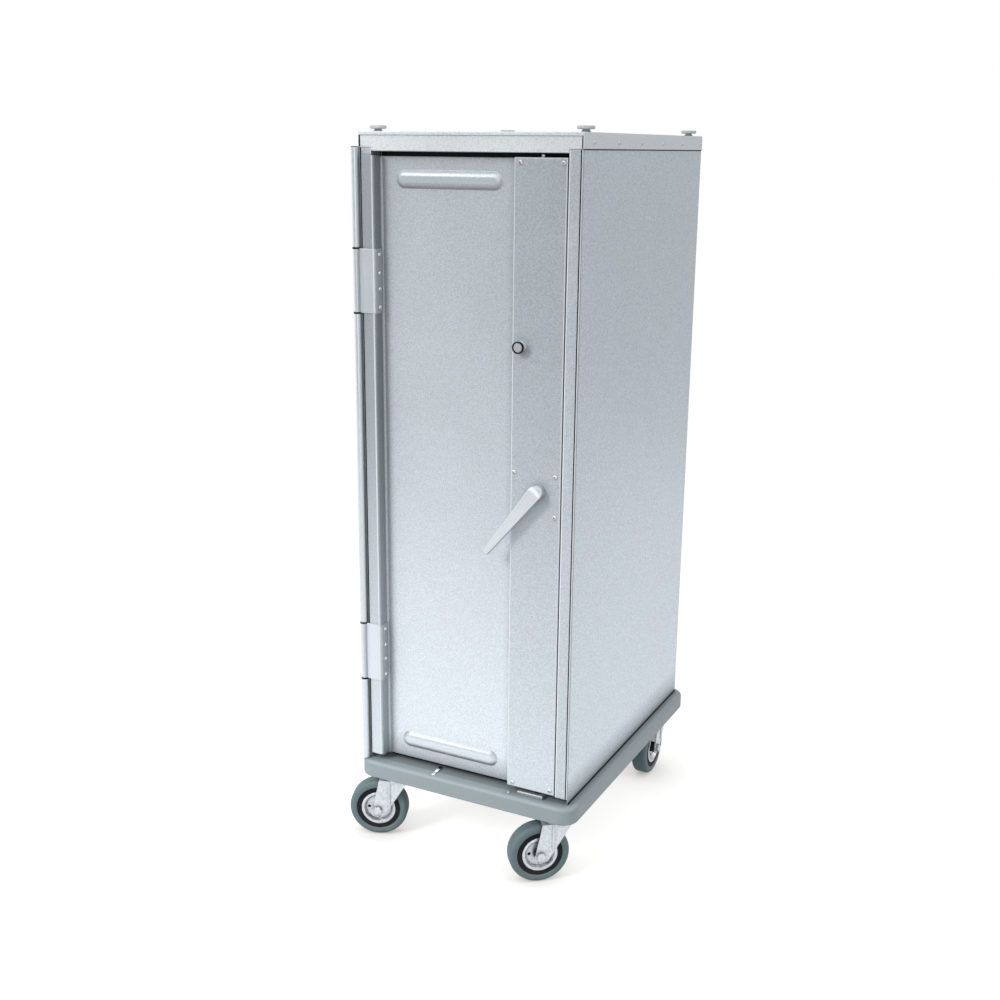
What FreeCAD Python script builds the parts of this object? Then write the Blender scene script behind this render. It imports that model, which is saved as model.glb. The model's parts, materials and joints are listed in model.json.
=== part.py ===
import FreeCAD, Part
import math
import os
import Sketcher

# Driving sizes of the trolley: millimetres, degrees for angles, plain numbers for counts.
# X runs to the right, Y to the rear and Z up. The origin is on the floor under the cabinet's centre.
driving = {
    # cabinet shell
    "body_width": 457.0,
    "body_depth": 632.0,
    "wall_sheet": 1.5,
    "wall_setback": 3.5,
    "roof_height": 1464.7,
    # roof cap
    "cap_sheet": 2.0,
    "cap_flange": 28.4,
    "cap_lip": 6.5,
    "cap_corner": 4.0,
    "cap_edge": 1.2,
    # stacking studs on the roof
    "stud_inset_across": 15.0,
    "stud_inset_along": 44.0,
    "stud_disc": 32.0,
    "stud_neck": 14.0,
    "stud_foot": 20.0,
    "stud_rise": 5.0,
    "stud_thickness": 6.0,
    "stud_chamfer": 1.5,
    # base
    "rail_bottom": 148.5,
    "rail_height": 36.0,
    "rail_reach": 19.5,
    "rail_width": 23.25,
    "rail_corner": 33.0,
    "rail_top_round": 8.0,
    "rail_bottom_round": 3.5,
    "deck_sheet": 3.0,
    "corner_relief": 1.0,
    # front posts and header
    "post_width": 26.0,
    "post_depth": 30.0,
    "post_foot": 13.0,
    "post_gap": 1.0,
    "header_drop": 35.7,
    "header_gap": 0.7,
    "stop_lip": 17.0,
    "stop_back": 34.0,
    # floor tray, seals and tray runners
    "tray_lip": 21.5,
    "seal_height": 8.0,
    "seal_inset": 4.5,
    "runner_reach": 36.0,
    "runner_leg": 20.0,
    "runner_front_gap": 9.5,
    "runner_first": 65.5,
    "runner_headroom": 106.0,
    "runner_count": 12,
    # door
    "door_gap": 2.5,
    "door_sheet": 1.5,
    "door_foot": 10.5,
    "door_head_gap": 9.0,
    "panel_recess": 22.0,
    "panel_bend": 5.0,
    "panel_edge": 2.0,
    "door_flange": 8.0,
    "bead_end_gap": 33.35,
    "bead_height": 34.0,
    "bead_relief": 6.0,
    "bead_slope": 50.0,
    "bead_round": 12.0,
    "bead_inset": 41.0,
    # hinge stile of the door
    "stile_left": 8.0,
    "stile_width": 27.1,
    "stile_proud": 5.6,
    "stile_hem": 6.5,
    "stile_edge": 6.0,
    # hinge
    "hinge_offset": 6.0,
    "hinge_proud": 6.0,
    "barrel_size": 15.2,
    "hinge_pin_size": 8.0,
    "leaf_sheet": 2.0,
    "leaf_height": 122.0,
    "leaf_wrap": 22.1,
    "leaf_bend": 8.0,
    "upper_leaf_drop": 292.0,
    "lower_leaf_rise": 173.0,
    "knuckle_gap": 1.0,
    "fixed_leaf_depth": 32.0,
    # lock cover
    "cover_width": 103.7,
    "cover_foot": 14.0,
    "cover_head_gap": 7.3,
    "cover_edge": 2.0,
    # lock: pinion on the spindle, a toothed rod at each side of it
    "lock_inset": 45.0,
    "lock_height": 818.0,
    "gear_module": 2.0,
    "gear_teeth": 12,
    "gear_width": 8.0,
    "pressure_angle": 20.0,
    "pinion_addendum": 1.6,
    "rack_addendum": 1.3,
    "tooth_clearance": 0.4,
    "tooth_backlash": 0.35,
    "rack_back": 6.0,
    "rack_teeth": 8,
    "rack_spare_teeth": 2,
    "rod_size": 8.0,
    "rod_offset": 7.0,
    "rod_depth": 10.0,
    "rod_bridge": 16.0,
    "top_rod_gap": 2.5,
    "bottom_rod_gap": 13.0,
    "rod_slot_width": 14.0,
    "rod_slot_depth": 12.0,
    "rod_slot_corner": 2.0,
    "case_height": 68.0,
    "case_wall": 3.4,
    "spindle_size": 12.0,
    "spindle_square": 8.0,
    "guide_width": 20.0,
    "guide_height": 12.0,
    "guide_wall": 4.0,
    "guide_inset": 40.0,
    "guide_spacing": 290.0,
    # lock keepers on the base and in the header, and the header's window under the upper one
    "keeper_width": 56.0,
    "keeper_depth": 28.0,
    "keeper_height": 7.5,
    "keeper_round": 2.0,
    "top_keeper_depth": 30.0,
    "top_keeper_sheet": 3.0,
    "window_width": 44.0,
    "window_depth": 24.0,
    "window_inset": 4.0,
    # lever handle
    "lever_length": 157.0,
    "lever_hub": 32.0,
    "lever_tip": 14.0,
    "lever_thickness": 6.5,
    "lever_standoff": 17.5,
    "lever_neck": 24.0,
    "lever_edge": 2.5,
    "lever_angle": 128.1,
    "socket_depth": 12.0,
    # door buffer
    "buffer_inset": 85.0,
    "buffer_rise": 269.0,
    "buffer_size": 22.0,
    "buffer_cup": 10.0,
    "buffer_pad": 6.0,
    "buffer_rim": 1.5,
    # casters
    "swivel_inset_across": 39.5,
    "swivel_inset_along": 35.0,
    "wheel_size": 125.0,
    "tyre_width": 36.0,
    "tyre_depth": 15.5,
    "tyre_shoulder": 9.0,
    "tyre_bead": 2.0,
    "trail": 35.0,
    "rim_width": 31.0,
    "rim_depth": 13.0,
    "web_width": 18.0,
    "hub_width": 41.0,
    "hub_size": 24.0,
    "disc_size": 73.0,
    "disc_flat": 54.0,
    "disc_lip": 4.5,
    "disc_sheet": 1.5,
    "disc_hole": 7.0,
    "disc_hole_circle": 42.0,
    "disc_holes": 4,
    "axle_size": 10.0,
    "nut_size": 16.0,
    "nut_height": 6.0,
    "fork_gap": 44.0,
    "fork_sheet": 3.0,
    "fork_crown": 131.0,
    "fork_lead": 30.0,
    "fork_tail": 32.0,
    "fork_boss": 14.0,
    "fork_boss_round": 10.0,
    "fork_ridge": 4.0,
    "fork_ridge_place": 10.0,
    "fork_ridge_proud": 1.5,
    "fork_ridge_foot": 76.0,
    "race_size": 54.0,
    "plate_width": 75.0,
    "plate_length": 90.0,
    "plate_sheet": 3.0,
    "kingpin_size": 14.0,
    "kingpin_head": 22.0,
    "kingpin_head_height": 3.0,
    "race_step": 3.0,
    "front_left_heading": 201.8,
    "front_right_heading": 219.5,
    "rear_left_heading": 238.0,
    "rear_right_heading": 271.0,
    # fits
    "running_fit": 0.05,
    "sliding_fit": 0.2,
    "free_gap": 0.4,
    "rod_hole_gap": 1.0,
    "lay_gap": 0.3,
    "mould_gap": 0.05,
}

doc = FreeCAD.newDocument("trolley")
sheet = doc.addObject("Spreadsheet::Sheet", "sizes")
for row, (alias, amount) in enumerate(driving.items(), start=1):
    sheet.set(f"A{row}", alias)
    sheet.set(f"B{row}", str(amount))
    sheet.setAlias(f"B{row}", alias)
doc.recompute()

nodes = []
full_turn = 360


# A length that knows its number and the sheet formula it comes from.
class Size:
    def __init__(self, value, text):
        self.value = value
        self.text = text

    def __add__(self, other):
        other = as_size(other)
        return Size(self.value + other.value, f"({self.text} + {other.text})")

    def __sub__(self, other):
        other = as_size(other)
        return Size(self.value - other.value, f"({self.text} - {other.text})")

    def __mul__(self, other):
        other = as_size(other)
        return Size(self.value * other.value, f"({self.text} * {other.text})")

    def __truediv__(self, other):
        other = as_size(other)
        return Size(self.value / other.value, f"({self.text} / {other.text})")

    def __neg__(self):
        return Size(-self.value, f"(-{self.text})")


def as_size(amount):
    if isinstance(amount, Size):
        return amount
    return Size(float(amount), f"({float(amount)})")


def in_order(*amounts):
    return sorted(amounts, key=lambda amount: amount.value)


def size(alias):
    return Size(float(sheet.get(alias)), f"sizes.{alias}")


def bind(item, path, amount):
    item.setExpression(path, as_size(amount).text)


def place(item, x=0, y=0, z=0):
    for axis, amount in zip("xyz", (x, y, z)):
        bind(item, f"Placement.Base.{axis}", amount)


def turn_placement(item, axis, angle):
    item.Placement = FreeCAD.Placement(FreeCAD.Vector(), FreeCAD.Rotation(axis, as_size(angle).value))
    bind(item, "Placement.Rotation.Angle", angle)


# Bodies, sketches and their features.

def new_body(label):
    body = doc.addObject("PartDesign::Body", label)
    nodes.append(body)
    return body


def origin_item(body, role):
    return next(item for item in body.Origin.OriginFeatures if item.Role == role)


def new_sketch(body, role, shift):
    sketch = body.newObject("Sketcher::SketchObject", "profile")
    sketch.AttachmentSupport = (origin_item(body, role), [""])
    sketch.MapMode = "FlatFace"
    for axis, amount in zip("xyz", shift):
        bind(sketch, f"AttachmentOffset.Base.{axis}", amount)
    return sketch


def add_constraint(sketch, kind, *terms):
    return sketch.addConstraint(Sketcher.Constraint(kind, *terms))


def pin_point(sketch, geometry, position, x, y):
    for kind, amount in (("DistanceX", as_size(x)), ("DistanceY", as_size(y))):
        index = add_constraint(sketch, kind, -1, 1, geometry, position, amount.value)
        bind(sketch, f"Constraints[{index}]", amount)


def bind_radius(sketch, geometry, radius):
    index = add_constraint(sketch, "Radius", geometry, as_size(radius).value)
    bind(sketch, f"Constraints[{index}]", radius)


# The two tangent points and the centre of the arc that rounds a corner.
def corner_arc(before, corner, after, radius):
    back = (before - corner).normalize()
    ahead = (after - corner).normalize()
    half = back.getAngle(ahead) / 2
    reach = radius / math.tan(half)
    middle = (back + ahead).normalize()
    return corner + back * reach, corner + ahead * reach, corner + middle * (radius / math.sin(half))


# A closed outline of corners (x, y) or (x, y, radius), listed counter-clockwise.
def outline(*corners):
    def draw(sketch):
        points = [FreeCAD.Vector(as_size(c[0]).value, as_size(c[1]).value, 0) for c in corners]
        count = len(corners)
        starts, ends, arcs = list(points), list(points), {}
        for i, corner in enumerate(corners):
            if len(corner) == 3:
                radius = as_size(corner[2]).value
                following = points[(i + 1) % count]
                ends[i], starts[i], arcs[i] = corner_arc(points[i - 1], points[i], following, radius)
        for i in range(count):
            sketch.addGeometry(Part.LineSegment(starts[i], ends[(i + 1) % count]), False)
        for i, corner in enumerate(corners):
            if i not in arcs:
                add_constraint(sketch, "Coincident", i - 1 if i else count - 1, 2, i, 1)
                pin_point(sketch, i, 1, corner[0], corner[1])
                continue
            round_corner(sketch, (i - 1) % count, i, points[i], ends[i], starts[i], arcs[i], corner)
    return draw


def round_corner(sketch, before, after, point, first, last, centre, corner):
    radius = (first - centre).Length
    left_turn = (point - first).cross(last - point).z > 0
    begin, finish = (first, last) if left_turn else (last, first)
    circle = Part.Circle(centre, FreeCAD.Vector(0, 0, 1), radius)
    bend = Part.ArcOfCircle(circle, circle.parameter(begin), circle.parameter(finish))
    arc = sketch.addGeometry(bend, False)
    mark = sketch.addGeometry(Part.Point(point), True)
    pin_point(sketch, mark, 1, corner[0], corner[1])
    add_constraint(sketch, "PointOnObject", mark, 1, before)
    add_constraint(sketch, "PointOnObject", mark, 1, after)
    add_constraint(sketch, "Tangent", before, 2, arc, 1 if left_turn else 2)
    add_constraint(sketch, "Tangent", after, 1, arc, 2 if left_turn else 1)
    bind_radius(sketch, arc, corner[2])


def rectangle(x0, x1, y0, y1, *radius):
    return outline((x0, y0, *radius), (x1, y0, *radius), (x1, y1, *radius), (x0, y1, *radius))


def circle_at(x, y, radius):
    def draw(sketch):
        centre = FreeCAD.Vector(as_size(x).value, as_size(y).value, 0)
        ring = sketch.addGeometry(Part.Circle(centre, FreeCAD.Vector(0, 0, 1), as_size(radius).value), False)
        pin_point(sketch, ring, 3, x, y)
        bind_radius(sketch, ring, radius)
    return draw


# Two round ends, of one radius or two, joined by tangent lines along X.
def long_slot(x0, radius0, x1, radius1, y):
    def draw(sketch):
        first, last = as_size(radius0).value, as_size(radius1).value
        left = FreeCAD.Vector(as_size(x0).value, as_size(y).value, 0)
        right = FreeCAD.Vector(as_size(x1).value, as_size(y).value, 0)
        lean = math.asin((first - last) / (right - left).Length)
        up = FreeCAD.Vector(math.sin(lean), math.cos(lean), 0)
        down = FreeCAD.Vector(math.sin(lean), -math.cos(lean), 0)
        normal = FreeCAD.Vector(0, 0, 1)
        quarter = math.pi / 2 - lean
        low = sketch.addGeometry(Part.LineSegment(left + down * first, right + down * last), False)
        high = sketch.addGeometry(Part.LineSegment(right + up * last, left + up * first), False)
        near = sketch.addGeometry(
            Part.ArcOfCircle(Part.Circle(left, normal, first), quarter, 2 * math.pi - quarter), False)
        far = sketch.addGeometry(
            Part.ArcOfCircle(Part.Circle(right, normal, last), -quarter, quarter), False)
        meetings = ((low, 2, far, 1), (high, 1, far, 2), (high, 2, near, 1), (low, 1, near, 2))
        for line, end, arc, tip in meetings:
            add_constraint(sketch, "Tangent", line, end, arc, tip)
        for arc, x, radius in ((near, x0, radius0), (far, x1, radius1)):
            pin_point(sketch, arc, 3, x, y)
            bind_radius(sketch, arc, radius)
    return draw


# Adds or cuts a prism between two heights along one axis, its sides drawn in by the slope.
# The XZ plane faces the front, towards -Y.
def prism(body, axis, start, end, draw, cut=False, slope=None):
    role, sign = {"z": ("XY_Plane", 1), "y": ("XZ_Plane", -1), "x": ("YZ_Plane", 1)}[axis]
    start, end = as_size(start), as_size(end)
    low, high = (start, end) if start.value < end.value else (end, start)
    sketch = new_sketch(body, role, (0, 0, low if sign > 0 else -high))
    draw(sketch)
    feature = body.newObject("PartDesign::Pocket" if cut else "PartDesign::Pad", "prism")
    feature.Profile = sketch
    feature.Reversed = cut
    bind(feature, "Length", high - low)
    if slope:
        bind(feature, "TaperAngle", -slope)
    before = body.Shape.Volume if cut else 0
    doc.recompute()
    if cut and not body.Shape.Volume < before:
        raise RuntimeError(f"{body.Label}: a cut along {axis} removes nothing")
    return feature


def cut_prism(body, axis, start, end, draw, slope=None):
    return prism(body, axis, start, end, draw, True, slope)


# Turns a section about its sketch's own vertical axis.
def turned(body, role, draw, shift=(0, 0, 0)):
    sketch = new_sketch(body, role, shift)
    draw(sketch)
    feature = body.newObject("PartDesign::Revolution", "turning")
    feature.Profile = sketch
    feature.ReferenceAxis = (sketch, ["V_Axis"])
    feature.Angle = full_turn
    doc.recompute()
    return feature


def rounded(body, chosen, radius):
    doc.recompute()
    base = body.Tip
    names = [f"Edge{i}" for i, edge in enumerate(base.Shape.Edges, start=1) if chosen(edge.BoundBox)]
    feature = body.newObject("PartDesign::Fillet", "rounding")
    feature.Base = (base, names)
    bind(feature, "Radius", radius)
    doc.recompute()
    return feature


def patterned(body, kind, feature, direction, occurrences):
    pattern = body.newObject(kind, "pattern")
    pattern.Originals = [feature]
    if kind == "PartDesign::LinearPattern":
        pattern.Direction = direction
    else:
        pattern.Axis = direction
    bind(pattern, "Occurrences", occurrences)
    body.Tip = pattern
    return pattern


tolerance = 1e-4


def flat_at(axis, level):
    def chosen(box):
        low, high = getattr(box, axis + "Min"), getattr(box, axis + "Max")
        return abs(low - level.value) < tolerance and abs(high - level.value) < tolerance
    return chosen


def upright(box):
    return box.XLength < tolerance and box.YLength < tolerance


# A flat sheet between two corners, as a plain box.
def plate(label, x0, x1, y0, y1, z0, z1):
    box = doc.addObject("Part::Box", label)
    for path, low, high in (("Length", x0, x1), ("Width", y0, y1), ("Height", z0, z1)):
        bind(box, path, as_size(high) - low)
    place(box, x0, y0, z0)
    nodes.append(box)
    return box


# Planes that several pieces share.
half_width = size("body_width") / 2
rear = size("body_depth") / 2
front = -rear
wall = size("wall_sheet")
rail_bottom = size("rail_bottom")
base_top = rail_bottom + size("rail_height")
roof = size("roof_height")
roof_under = roof - size("cap_sheet")
cap_foot = roof - size("cap_flange")
post_top = cap_foot - size("post_gap")
header_bottom = roof - size("header_drop")
lip_foot = header_bottom - size("stop_lip")
inner_half = half_width - wall
inner_rear = rear - wall
wall_front = front + size("wall_setback")
post_inner = half_width - size("post_width")
stop_front = front + size("stop_back")
stop_rear = stop_front + wall
door_right = post_inner - size("door_gap")
door_foot = base_top + size("door_foot")
door_head = header_bottom - size("door_head_gap")
panel_front = front + size("panel_recess")
panel_back = panel_front + size("door_sheet")
door_rear = panel_front + size("door_flange")
seal_front = door_rear + size("free_gap")
seal_half = post_inner - size("seal_inset")
stile_front = front - size("stile_proud")
stile_left = -half_width + size("stile_left")
stile_right = stile_left + size("stile_width")
cover_left = door_right - size("cover_width")
cover_foot = base_top + size("cover_foot")
cover_head = header_bottom - size("cover_head_gap")
hinge_x = -half_width - size("hinge_offset")
hinge_y = front - size("hinge_proud")
lock_x = door_right - size("lock_inset")
lock_z = size("lock_height")
rod_y = panel_front - size("rod_depth")
top_rod_x = lock_x - size("rod_offset")
bottom_rod_x = lock_x + size("rod_offset")
rod_radius = size("rod_size") / 2
rod_hole = rod_radius + size("rod_hole_gap")
keeper_top = base_top + size("keeper_height")


# Base: bumper rail round a deck above and a chassis plate below.

def build_base():
    outer_x = half_width + size("rail_reach")
    outer_y = rear + size("rail_reach")
    inner_x = outer_x - size("rail_width")
    inner_y = outer_y - size("rail_width")
    inner_corner = size("rail_corner") - size("rail_width")

    rail = new_body("bumper_rail")
    outside = rectangle(-outer_x, outer_x, -outer_y, outer_y, size("rail_corner"))
    prism(rail, "z", rail_bottom, base_top, outside)
    rounded(rail, flat_at("Z", base_top), size("rail_top_round"))
    rounded(rail, flat_at("Z", rail_bottom), size("rail_bottom_round"))
    inside = rectangle(-inner_x, inner_x, -inner_y, inner_y, inner_corner)
    cut_prism(rail, "z", rail_bottom, base_top, inside)

    corner = inner_corner + size("corner_relief")
    levels = {"base_deck": base_top - size("deck_sheet"), "chassis_plate": rail_bottom}
    for label, level in levels.items():
        body = new_body(label)
        top = level + size("deck_sheet")
        prism(body, "z", level, top, rectangle(-inner_x, inner_x, -inner_y, inner_y, corner))


# Cabinet: three wall sheets, two folded posts, the header and the roof cap.

def build_shell():
    plate("left_wall", -half_width, -inner_half, wall_front, inner_rear, base_top, roof_under)
    plate("right_wall", inner_half, half_width, wall_front, inner_rear, base_top, roof_under)
    plate("rear_wall", -half_width, half_width, inner_rear, rear, base_top, roof_under)

    leg_end = front + size("post_depth")
    foot = base_top + size("post_foot")
    for label, side in (("left_post", -1), ("right_post", 1)):
        post = new_body(label)
        corners = [
            (half_width, front),
            (half_width, front + wall),
            (inner_half, front + wall),
            (inner_half, leg_end),
            (inner_half - wall, leg_end),
            (inner_half - wall, front + wall),
            (post_inner + wall, front + wall),
            (post_inner + wall, leg_end),
            (post_inner, leg_end),
            (post_inner, front),
        ]
        if side < 0:
            corners = [(-x, y) for x, y in reversed(corners)]
        prism(post, "z", foot, post_top, outline(*corners))


# The slot that a rod's tip enters.
def rod_slot(x):
    half_x = size("rod_slot_width") / 2
    half_y = size("rod_slot_depth") / 2
    return rectangle(x - half_x, x + half_x, rod_y - half_y, rod_y + half_y, size("rod_slot_corner"))


def build_header():
    header = new_body("header")
    bottom = header_bottom
    half = post_inner - size("free_gap")
    profile = outline(
        (front, bottom, wall),
        (stop_front, bottom),
        (stop_front, lip_foot),
        (stop_rear, lip_foot),
        (stop_rear, bottom + wall),
        (front + wall, bottom + wall),
        (front + wall, roof_under),
        (front, roof_under),
    )
    prism(header, "x", -half, half, profile)
    ends_foot = post_top + size("header_gap")
    prism(header, "y", front + wall, front, rectangle(-half_width, half_width, ends_foot, roof_under))
    half_window = size("window_width") / 2
    window_front = front + size("window_inset")
    window = rectangle(top_rod_x - half_window, top_rod_x + half_window,
                       window_front, window_front + size("window_depth"), size("rod_slot_corner"))
    cut_prism(header, "z", bottom, bottom + wall, window)
    seal_top = lip_foot + size("seal_height")
    plate("top_seal", -seal_half, seal_half, seal_front, stop_front, lip_foot, seal_top)


def build_cap():
    cap = new_body("roof_cap")
    thick = size("cap_sheet")
    foot = cap_foot
    outer_x = half_width + thick
    outer_y = rear + thick
    prism(cap, "z", foot, roof, rectangle(-outer_x, outer_x, -outer_y, outer_y))
    rounded(cap, upright, size("cap_corner"))
    rounded(cap, flat_at("Z", roof), size("cap_edge"))
    cut_prism(cap, "z", foot, roof_under, rectangle(-half_width, half_width, front, rear))
    cut_prism(cap, "y", front, -outer_y, rectangle(-half_width, half_width, foot, roof - size("cap_lip")))


def build_studs():
    across = half_width - size("stud_inset_across")
    along = rear - size("stud_inset_along")
    top = size("stud_rise") + size("stud_thickness")
    disc = size("stud_disc") / 2
    chamfer = size("stud_chamfer")
    profile = outline(
        (0, 0),
        (size("stud_foot") / 2, 0),
        (size("stud_neck") / 2, size("stud_rise") / 2),
        (size("stud_neck") / 2, size("stud_rise")),
        (disc - chamfer, size("stud_rise")),
        (disc, size("stud_rise") + chamfer),
        (disc, top - chamfer),
        (disc - chamfer, top),
        (0, top),
    )
    studs = new_body("roof_studs")
    for y in (-along, along):
        for x in (-across, across):
            turned(studs, "XZ_Plane", profile, (x, roof, -y))


# Inside: floor tray with its stop lip and seal, and a ladder of runners on each wall.

def build_inside():
    tray = new_body("floor_tray")
    lip_top = base_top + size("tray_lip")
    profile = outline(
        (stop_front, base_top),
        (inner_rear, base_top),
        (inner_rear, base_top + wall),
        (stop_rear, base_top + wall),
        (stop_rear, lip_top),
        (stop_front, lip_top),
    )
    prism(tray, "x", -inner_half, inner_half, profile)
    seal_foot = lip_top - size("seal_height")
    plate("bottom_seal", -seal_half, seal_half, seal_front, stop_front, seal_foot, lip_top)

    first = base_top + size("runner_first")
    reach = inner_half - size("runner_reach")
    profile = [
        (reach, first),
        (inner_half, first),
        (inner_half, first + size("runner_leg")),
        (inner_half - wall, first + size("runner_leg")),
        (inner_half - wall, first + wall),
        (reach, first + wall),
    ]
    back = inner_rear - size("wall_setback")
    for label, side in (("left_runners", -1), ("right_runners", 1)):
        ladder = new_body(label)
        corners = profile if side > 0 else [(-x, z) for x, z in reversed(profile)]
        step = prism(ladder, "y", stop_rear + size("runner_front_gap"), back, outline(*corners))
        rows = patterned(ladder, "PartDesign::LinearPattern", step, (origin_item(ladder, "Z_Axis"), [""]),
                         size("runner_count"))
        bind(rows, "Length", lip_foot - size("runner_headroom") - first)


# Door: a pressed skin with two stadium beads, set back behind the stile and the lock cover.

def build_skin():
    skin = new_body("door_skin")
    thick = size("door_sheet")
    flange_face = stile_right - thick
    flange_end = stile_front + size("stile_edge")
    bend = size("panel_bend")
    profile = outline(
        (flange_face - thick, flange_end),
        (flange_face, flange_end),
        (flange_face, panel_front, bend),
        (door_right, panel_front, size("panel_edge")),
        (door_right, door_rear),
        (door_right - thick, door_rear),
        (door_right - thick, panel_back),
        (flange_face - thick, panel_back, bend + thick),
    )
    prism(skin, "z", door_foot, door_head, profile)
    rim = rectangle(flange_face + bend, door_right - size("panel_edge"), panel_front, door_rear)
    prism(skin, "z", door_foot, door_foot + thick, rim)
    prism(skin, "z", door_head - thick, door_head, rim)
    radius = size("bead_height") / 2
    middle = (stile_right + cover_left) / 2
    reach = (cover_left - stile_right) / 2 - size("bead_end_gap") - radius
    crest = panel_front - size("bead_relief")
    for height in (door_foot + size("bead_inset"), door_head - size("bead_inset")):
        shape = long_slot(middle - reach, radius, middle + reach, radius, height)
        prism(skin, "y", panel_front, crest, shape, slope=size("bead_slope"))
    rounded(skin, flat_at("Y", crest), size("bead_round"))
    inner = radius - thick
    for height in (door_foot + size("bead_inset"), door_head - size("bead_inset")):
        shape = long_slot(middle - reach, inner, middle + reach, inner, height)
        cut_prism(skin, "y", panel_back, crest + thick, shape, size("bead_slope"))


def build_stile():
    stile = new_body("hinge_stile")
    thick = size("door_sheet")
    back = stile_front + thick
    flange_end = panel_front - size("panel_bend") - size("lay_gap")
    profile = outline(
        (stile_left, stile_front),
        (stile_right, stile_front, size("stile_edge")),
        (stile_right, flange_end),
        (stile_right - thick, flange_end),
        (stile_right - thick, back, size("stile_edge") - thick),
        (stile_left + size("stile_hem"), back),
        (stile_left + size("stile_hem"), back + thick),
        (stile_left, back + thick),
    )
    prism(stile, "z", cover_foot, cover_head, profile)


def build_cover():
    cover = new_body("lock_cover")
    thick = size("door_sheet")
    prism(cover, "z", cover_foot, cover_head, rectangle(cover_left, door_right, front, panel_front))
    rounded(cover, flat_at("Y", front), size("cover_edge"))
    cut_prism(cover, "y", panel_front, front + thick,
              rectangle(cover_left + thick, door_right - thick, cover_foot + thick, cover_head - thick))
    cut_prism(cover, "y", front + thick, front,
              circle_at(lock_x, lock_z, size("spindle_size") / 2 + size("free_gap")))
    cut_prism(cover, "z", cover_head - thick, cover_head, circle_at(top_rod_x, rod_y, rod_hole))
    cut_prism(cover, "z", cover_foot, cover_foot + thick, circle_at(bottom_rod_x, rod_y, rod_hole))


# Hinge: three fixed barrels on the wall, two moving leaves that wrap the stile, one long pin.

def build_hinge():
    radius = size("barrel_size") / 2
    bore = size("hinge_pin_size") / 2 + size("running_fit")
    gap = size("knuckle_gap")
    foot = base_top + size("wall_sheet")
    head = cap_foot - size("lay_gap")
    leaf = size("leaf_height")
    lower = door_foot + size("lower_leaf_rise")
    upper = door_head - size("upper_leaf_drop")
    thick = size("leaf_sheet")
    spans = (
        ("lower_fixed_leaf", foot, lower - gap),
        ("middle_fixed_leaf", lower + leaf + gap, upper - gap),
        ("upper_fixed_leaf", upper + leaf + gap, head),
    )
    for label, low, high in spans:
        fixed = new_body(label)
        prism(fixed, "z", low, high,
              rectangle(-half_width - thick, -half_width, hinge_y, hinge_y + size("fixed_leaf_depth")))
        prism(fixed, "z", low, high, circle_at(hinge_x, hinge_y, radius))
        cut_prism(fixed, "z", low, high, circle_at(hinge_x, hinge_y, bore))

    face = stile_front - thick
    wrap = stile_right + thick
    for label, low in (("lower_door_leaf", lower), ("upper_door_leaf", upper)):
        moving = new_body(label)
        profile = outline(
            (hinge_x, face),
            (wrap, face, size("leaf_bend")),
            (wrap, stile_front + size("leaf_wrap")),
            (stile_right, stile_front + size("leaf_wrap")),
            (stile_right, stile_front, size("leaf_bend") - thick),
            (hinge_x, stile_front),
        )
        prism(moving, "z", low, low + leaf, profile)
        prism(moving, "z", low, low + leaf, circle_at(hinge_x, hinge_y, radius))
        cut_prism(moving, "z", low, low + leaf, circle_at(hinge_x, hinge_y, bore))

    pin = doc.addObject("Part::Cylinder", "hinge_pin")
    bind(pin, "Radius", size("hinge_pin_size") / 2)
    bind(pin, "Height", head - foot)
    place(pin, hinge_x, hinge_y, foot)
    nodes.append(pin)


# Lock: turning the lever drives one toothed rod up and the other down.

pitch_radius = size("gear_module") * size("gear_teeth") / 2
tooth_pitch = size("gear_module") * math.pi
gear_front = rod_y - size("gear_width") / 2
gear_rear = rod_y + size("gear_width") / 2
rack_dedendum = size("pinion_addendum") + size("tooth_clearance")
rack_root = pitch_radius + rack_dedendum
rack_outer = rack_root + size("rack_back")
flank_steps = 4


def involute_point(base, angle, turn):
    x = base * (math.cos(angle) + angle * math.sin(angle))
    y = base * (math.sin(angle) - angle * math.cos(angle))
    cos, sin = math.cos(turn), math.sin(turn)
    return FreeCAD.Vector(x * cos - y * sin, x * sin + y * cos, 0)


def polar(radius, angle):
    return FreeCAD.Vector(radius * math.cos(angle), radius * math.sin(angle), 0)


# One flank from the root circle to the tip circle, as a radial line and an involute.
def tooth_flank(base, root, tip, turn):
    last = math.sqrt((tip / base) ** 2 - 1)
    points = [involute_point(base, last * i / flank_steps, turn) for i in range(flank_steps + 1)]
    curve = Part.BSplineCurve()
    curve.interpolate(points)
    return [Part.makeLine(polar(root, turn), points[0]), curve.toShape()], points[-1]


def pinion_face():
    teeth = int(size("gear_teeth").value)
    pitch = pitch_radius.value
    pressure = math.radians(size("pressure_angle").value)
    base = pitch * math.cos(pressure)
    tip = pitch + size("pinion_addendum").value
    root = pitch - size("rack_addendum").value - size("tooth_clearance").value
    half_tooth = math.pi / (2 * teeth) - size("tooth_backlash").value / (2 * pitch)
    start = half_tooth + math.tan(pressure) - pressure
    mirror = FreeCAD.Matrix()
    mirror.scale(1, -1, 1)
    edges = []
    for tooth in range(teeth):
        middle = math.tau * (2 * tooth + 1) / (2 * teeth)
        flank, corner = tooth_flank(base, root, tip, -start)
        other = [edge.transformGeometry(mirror) for edge in flank]
        far = FreeCAD.Vector(corner.x, -corner.y, 0)
        crest = Part.Arc(corner, FreeCAD.Vector(tip, 0, 0), far).toShape()
        gap_end = math.tau / teeth - start
        valley = Part.Arc(polar(root, start), polar(root, math.pi / teeth), polar(root, gap_end)).toShape()
        for edge in flank + [crest] + other + [valley]:
            edge.rotate(FreeCAD.Vector(), FreeCAD.Vector(0, 0, 1), math.degrees(middle))
            edges.append(edge)
    return Part.Face(Part.Wire(Part.__sortEdges__(edges)))


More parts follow.
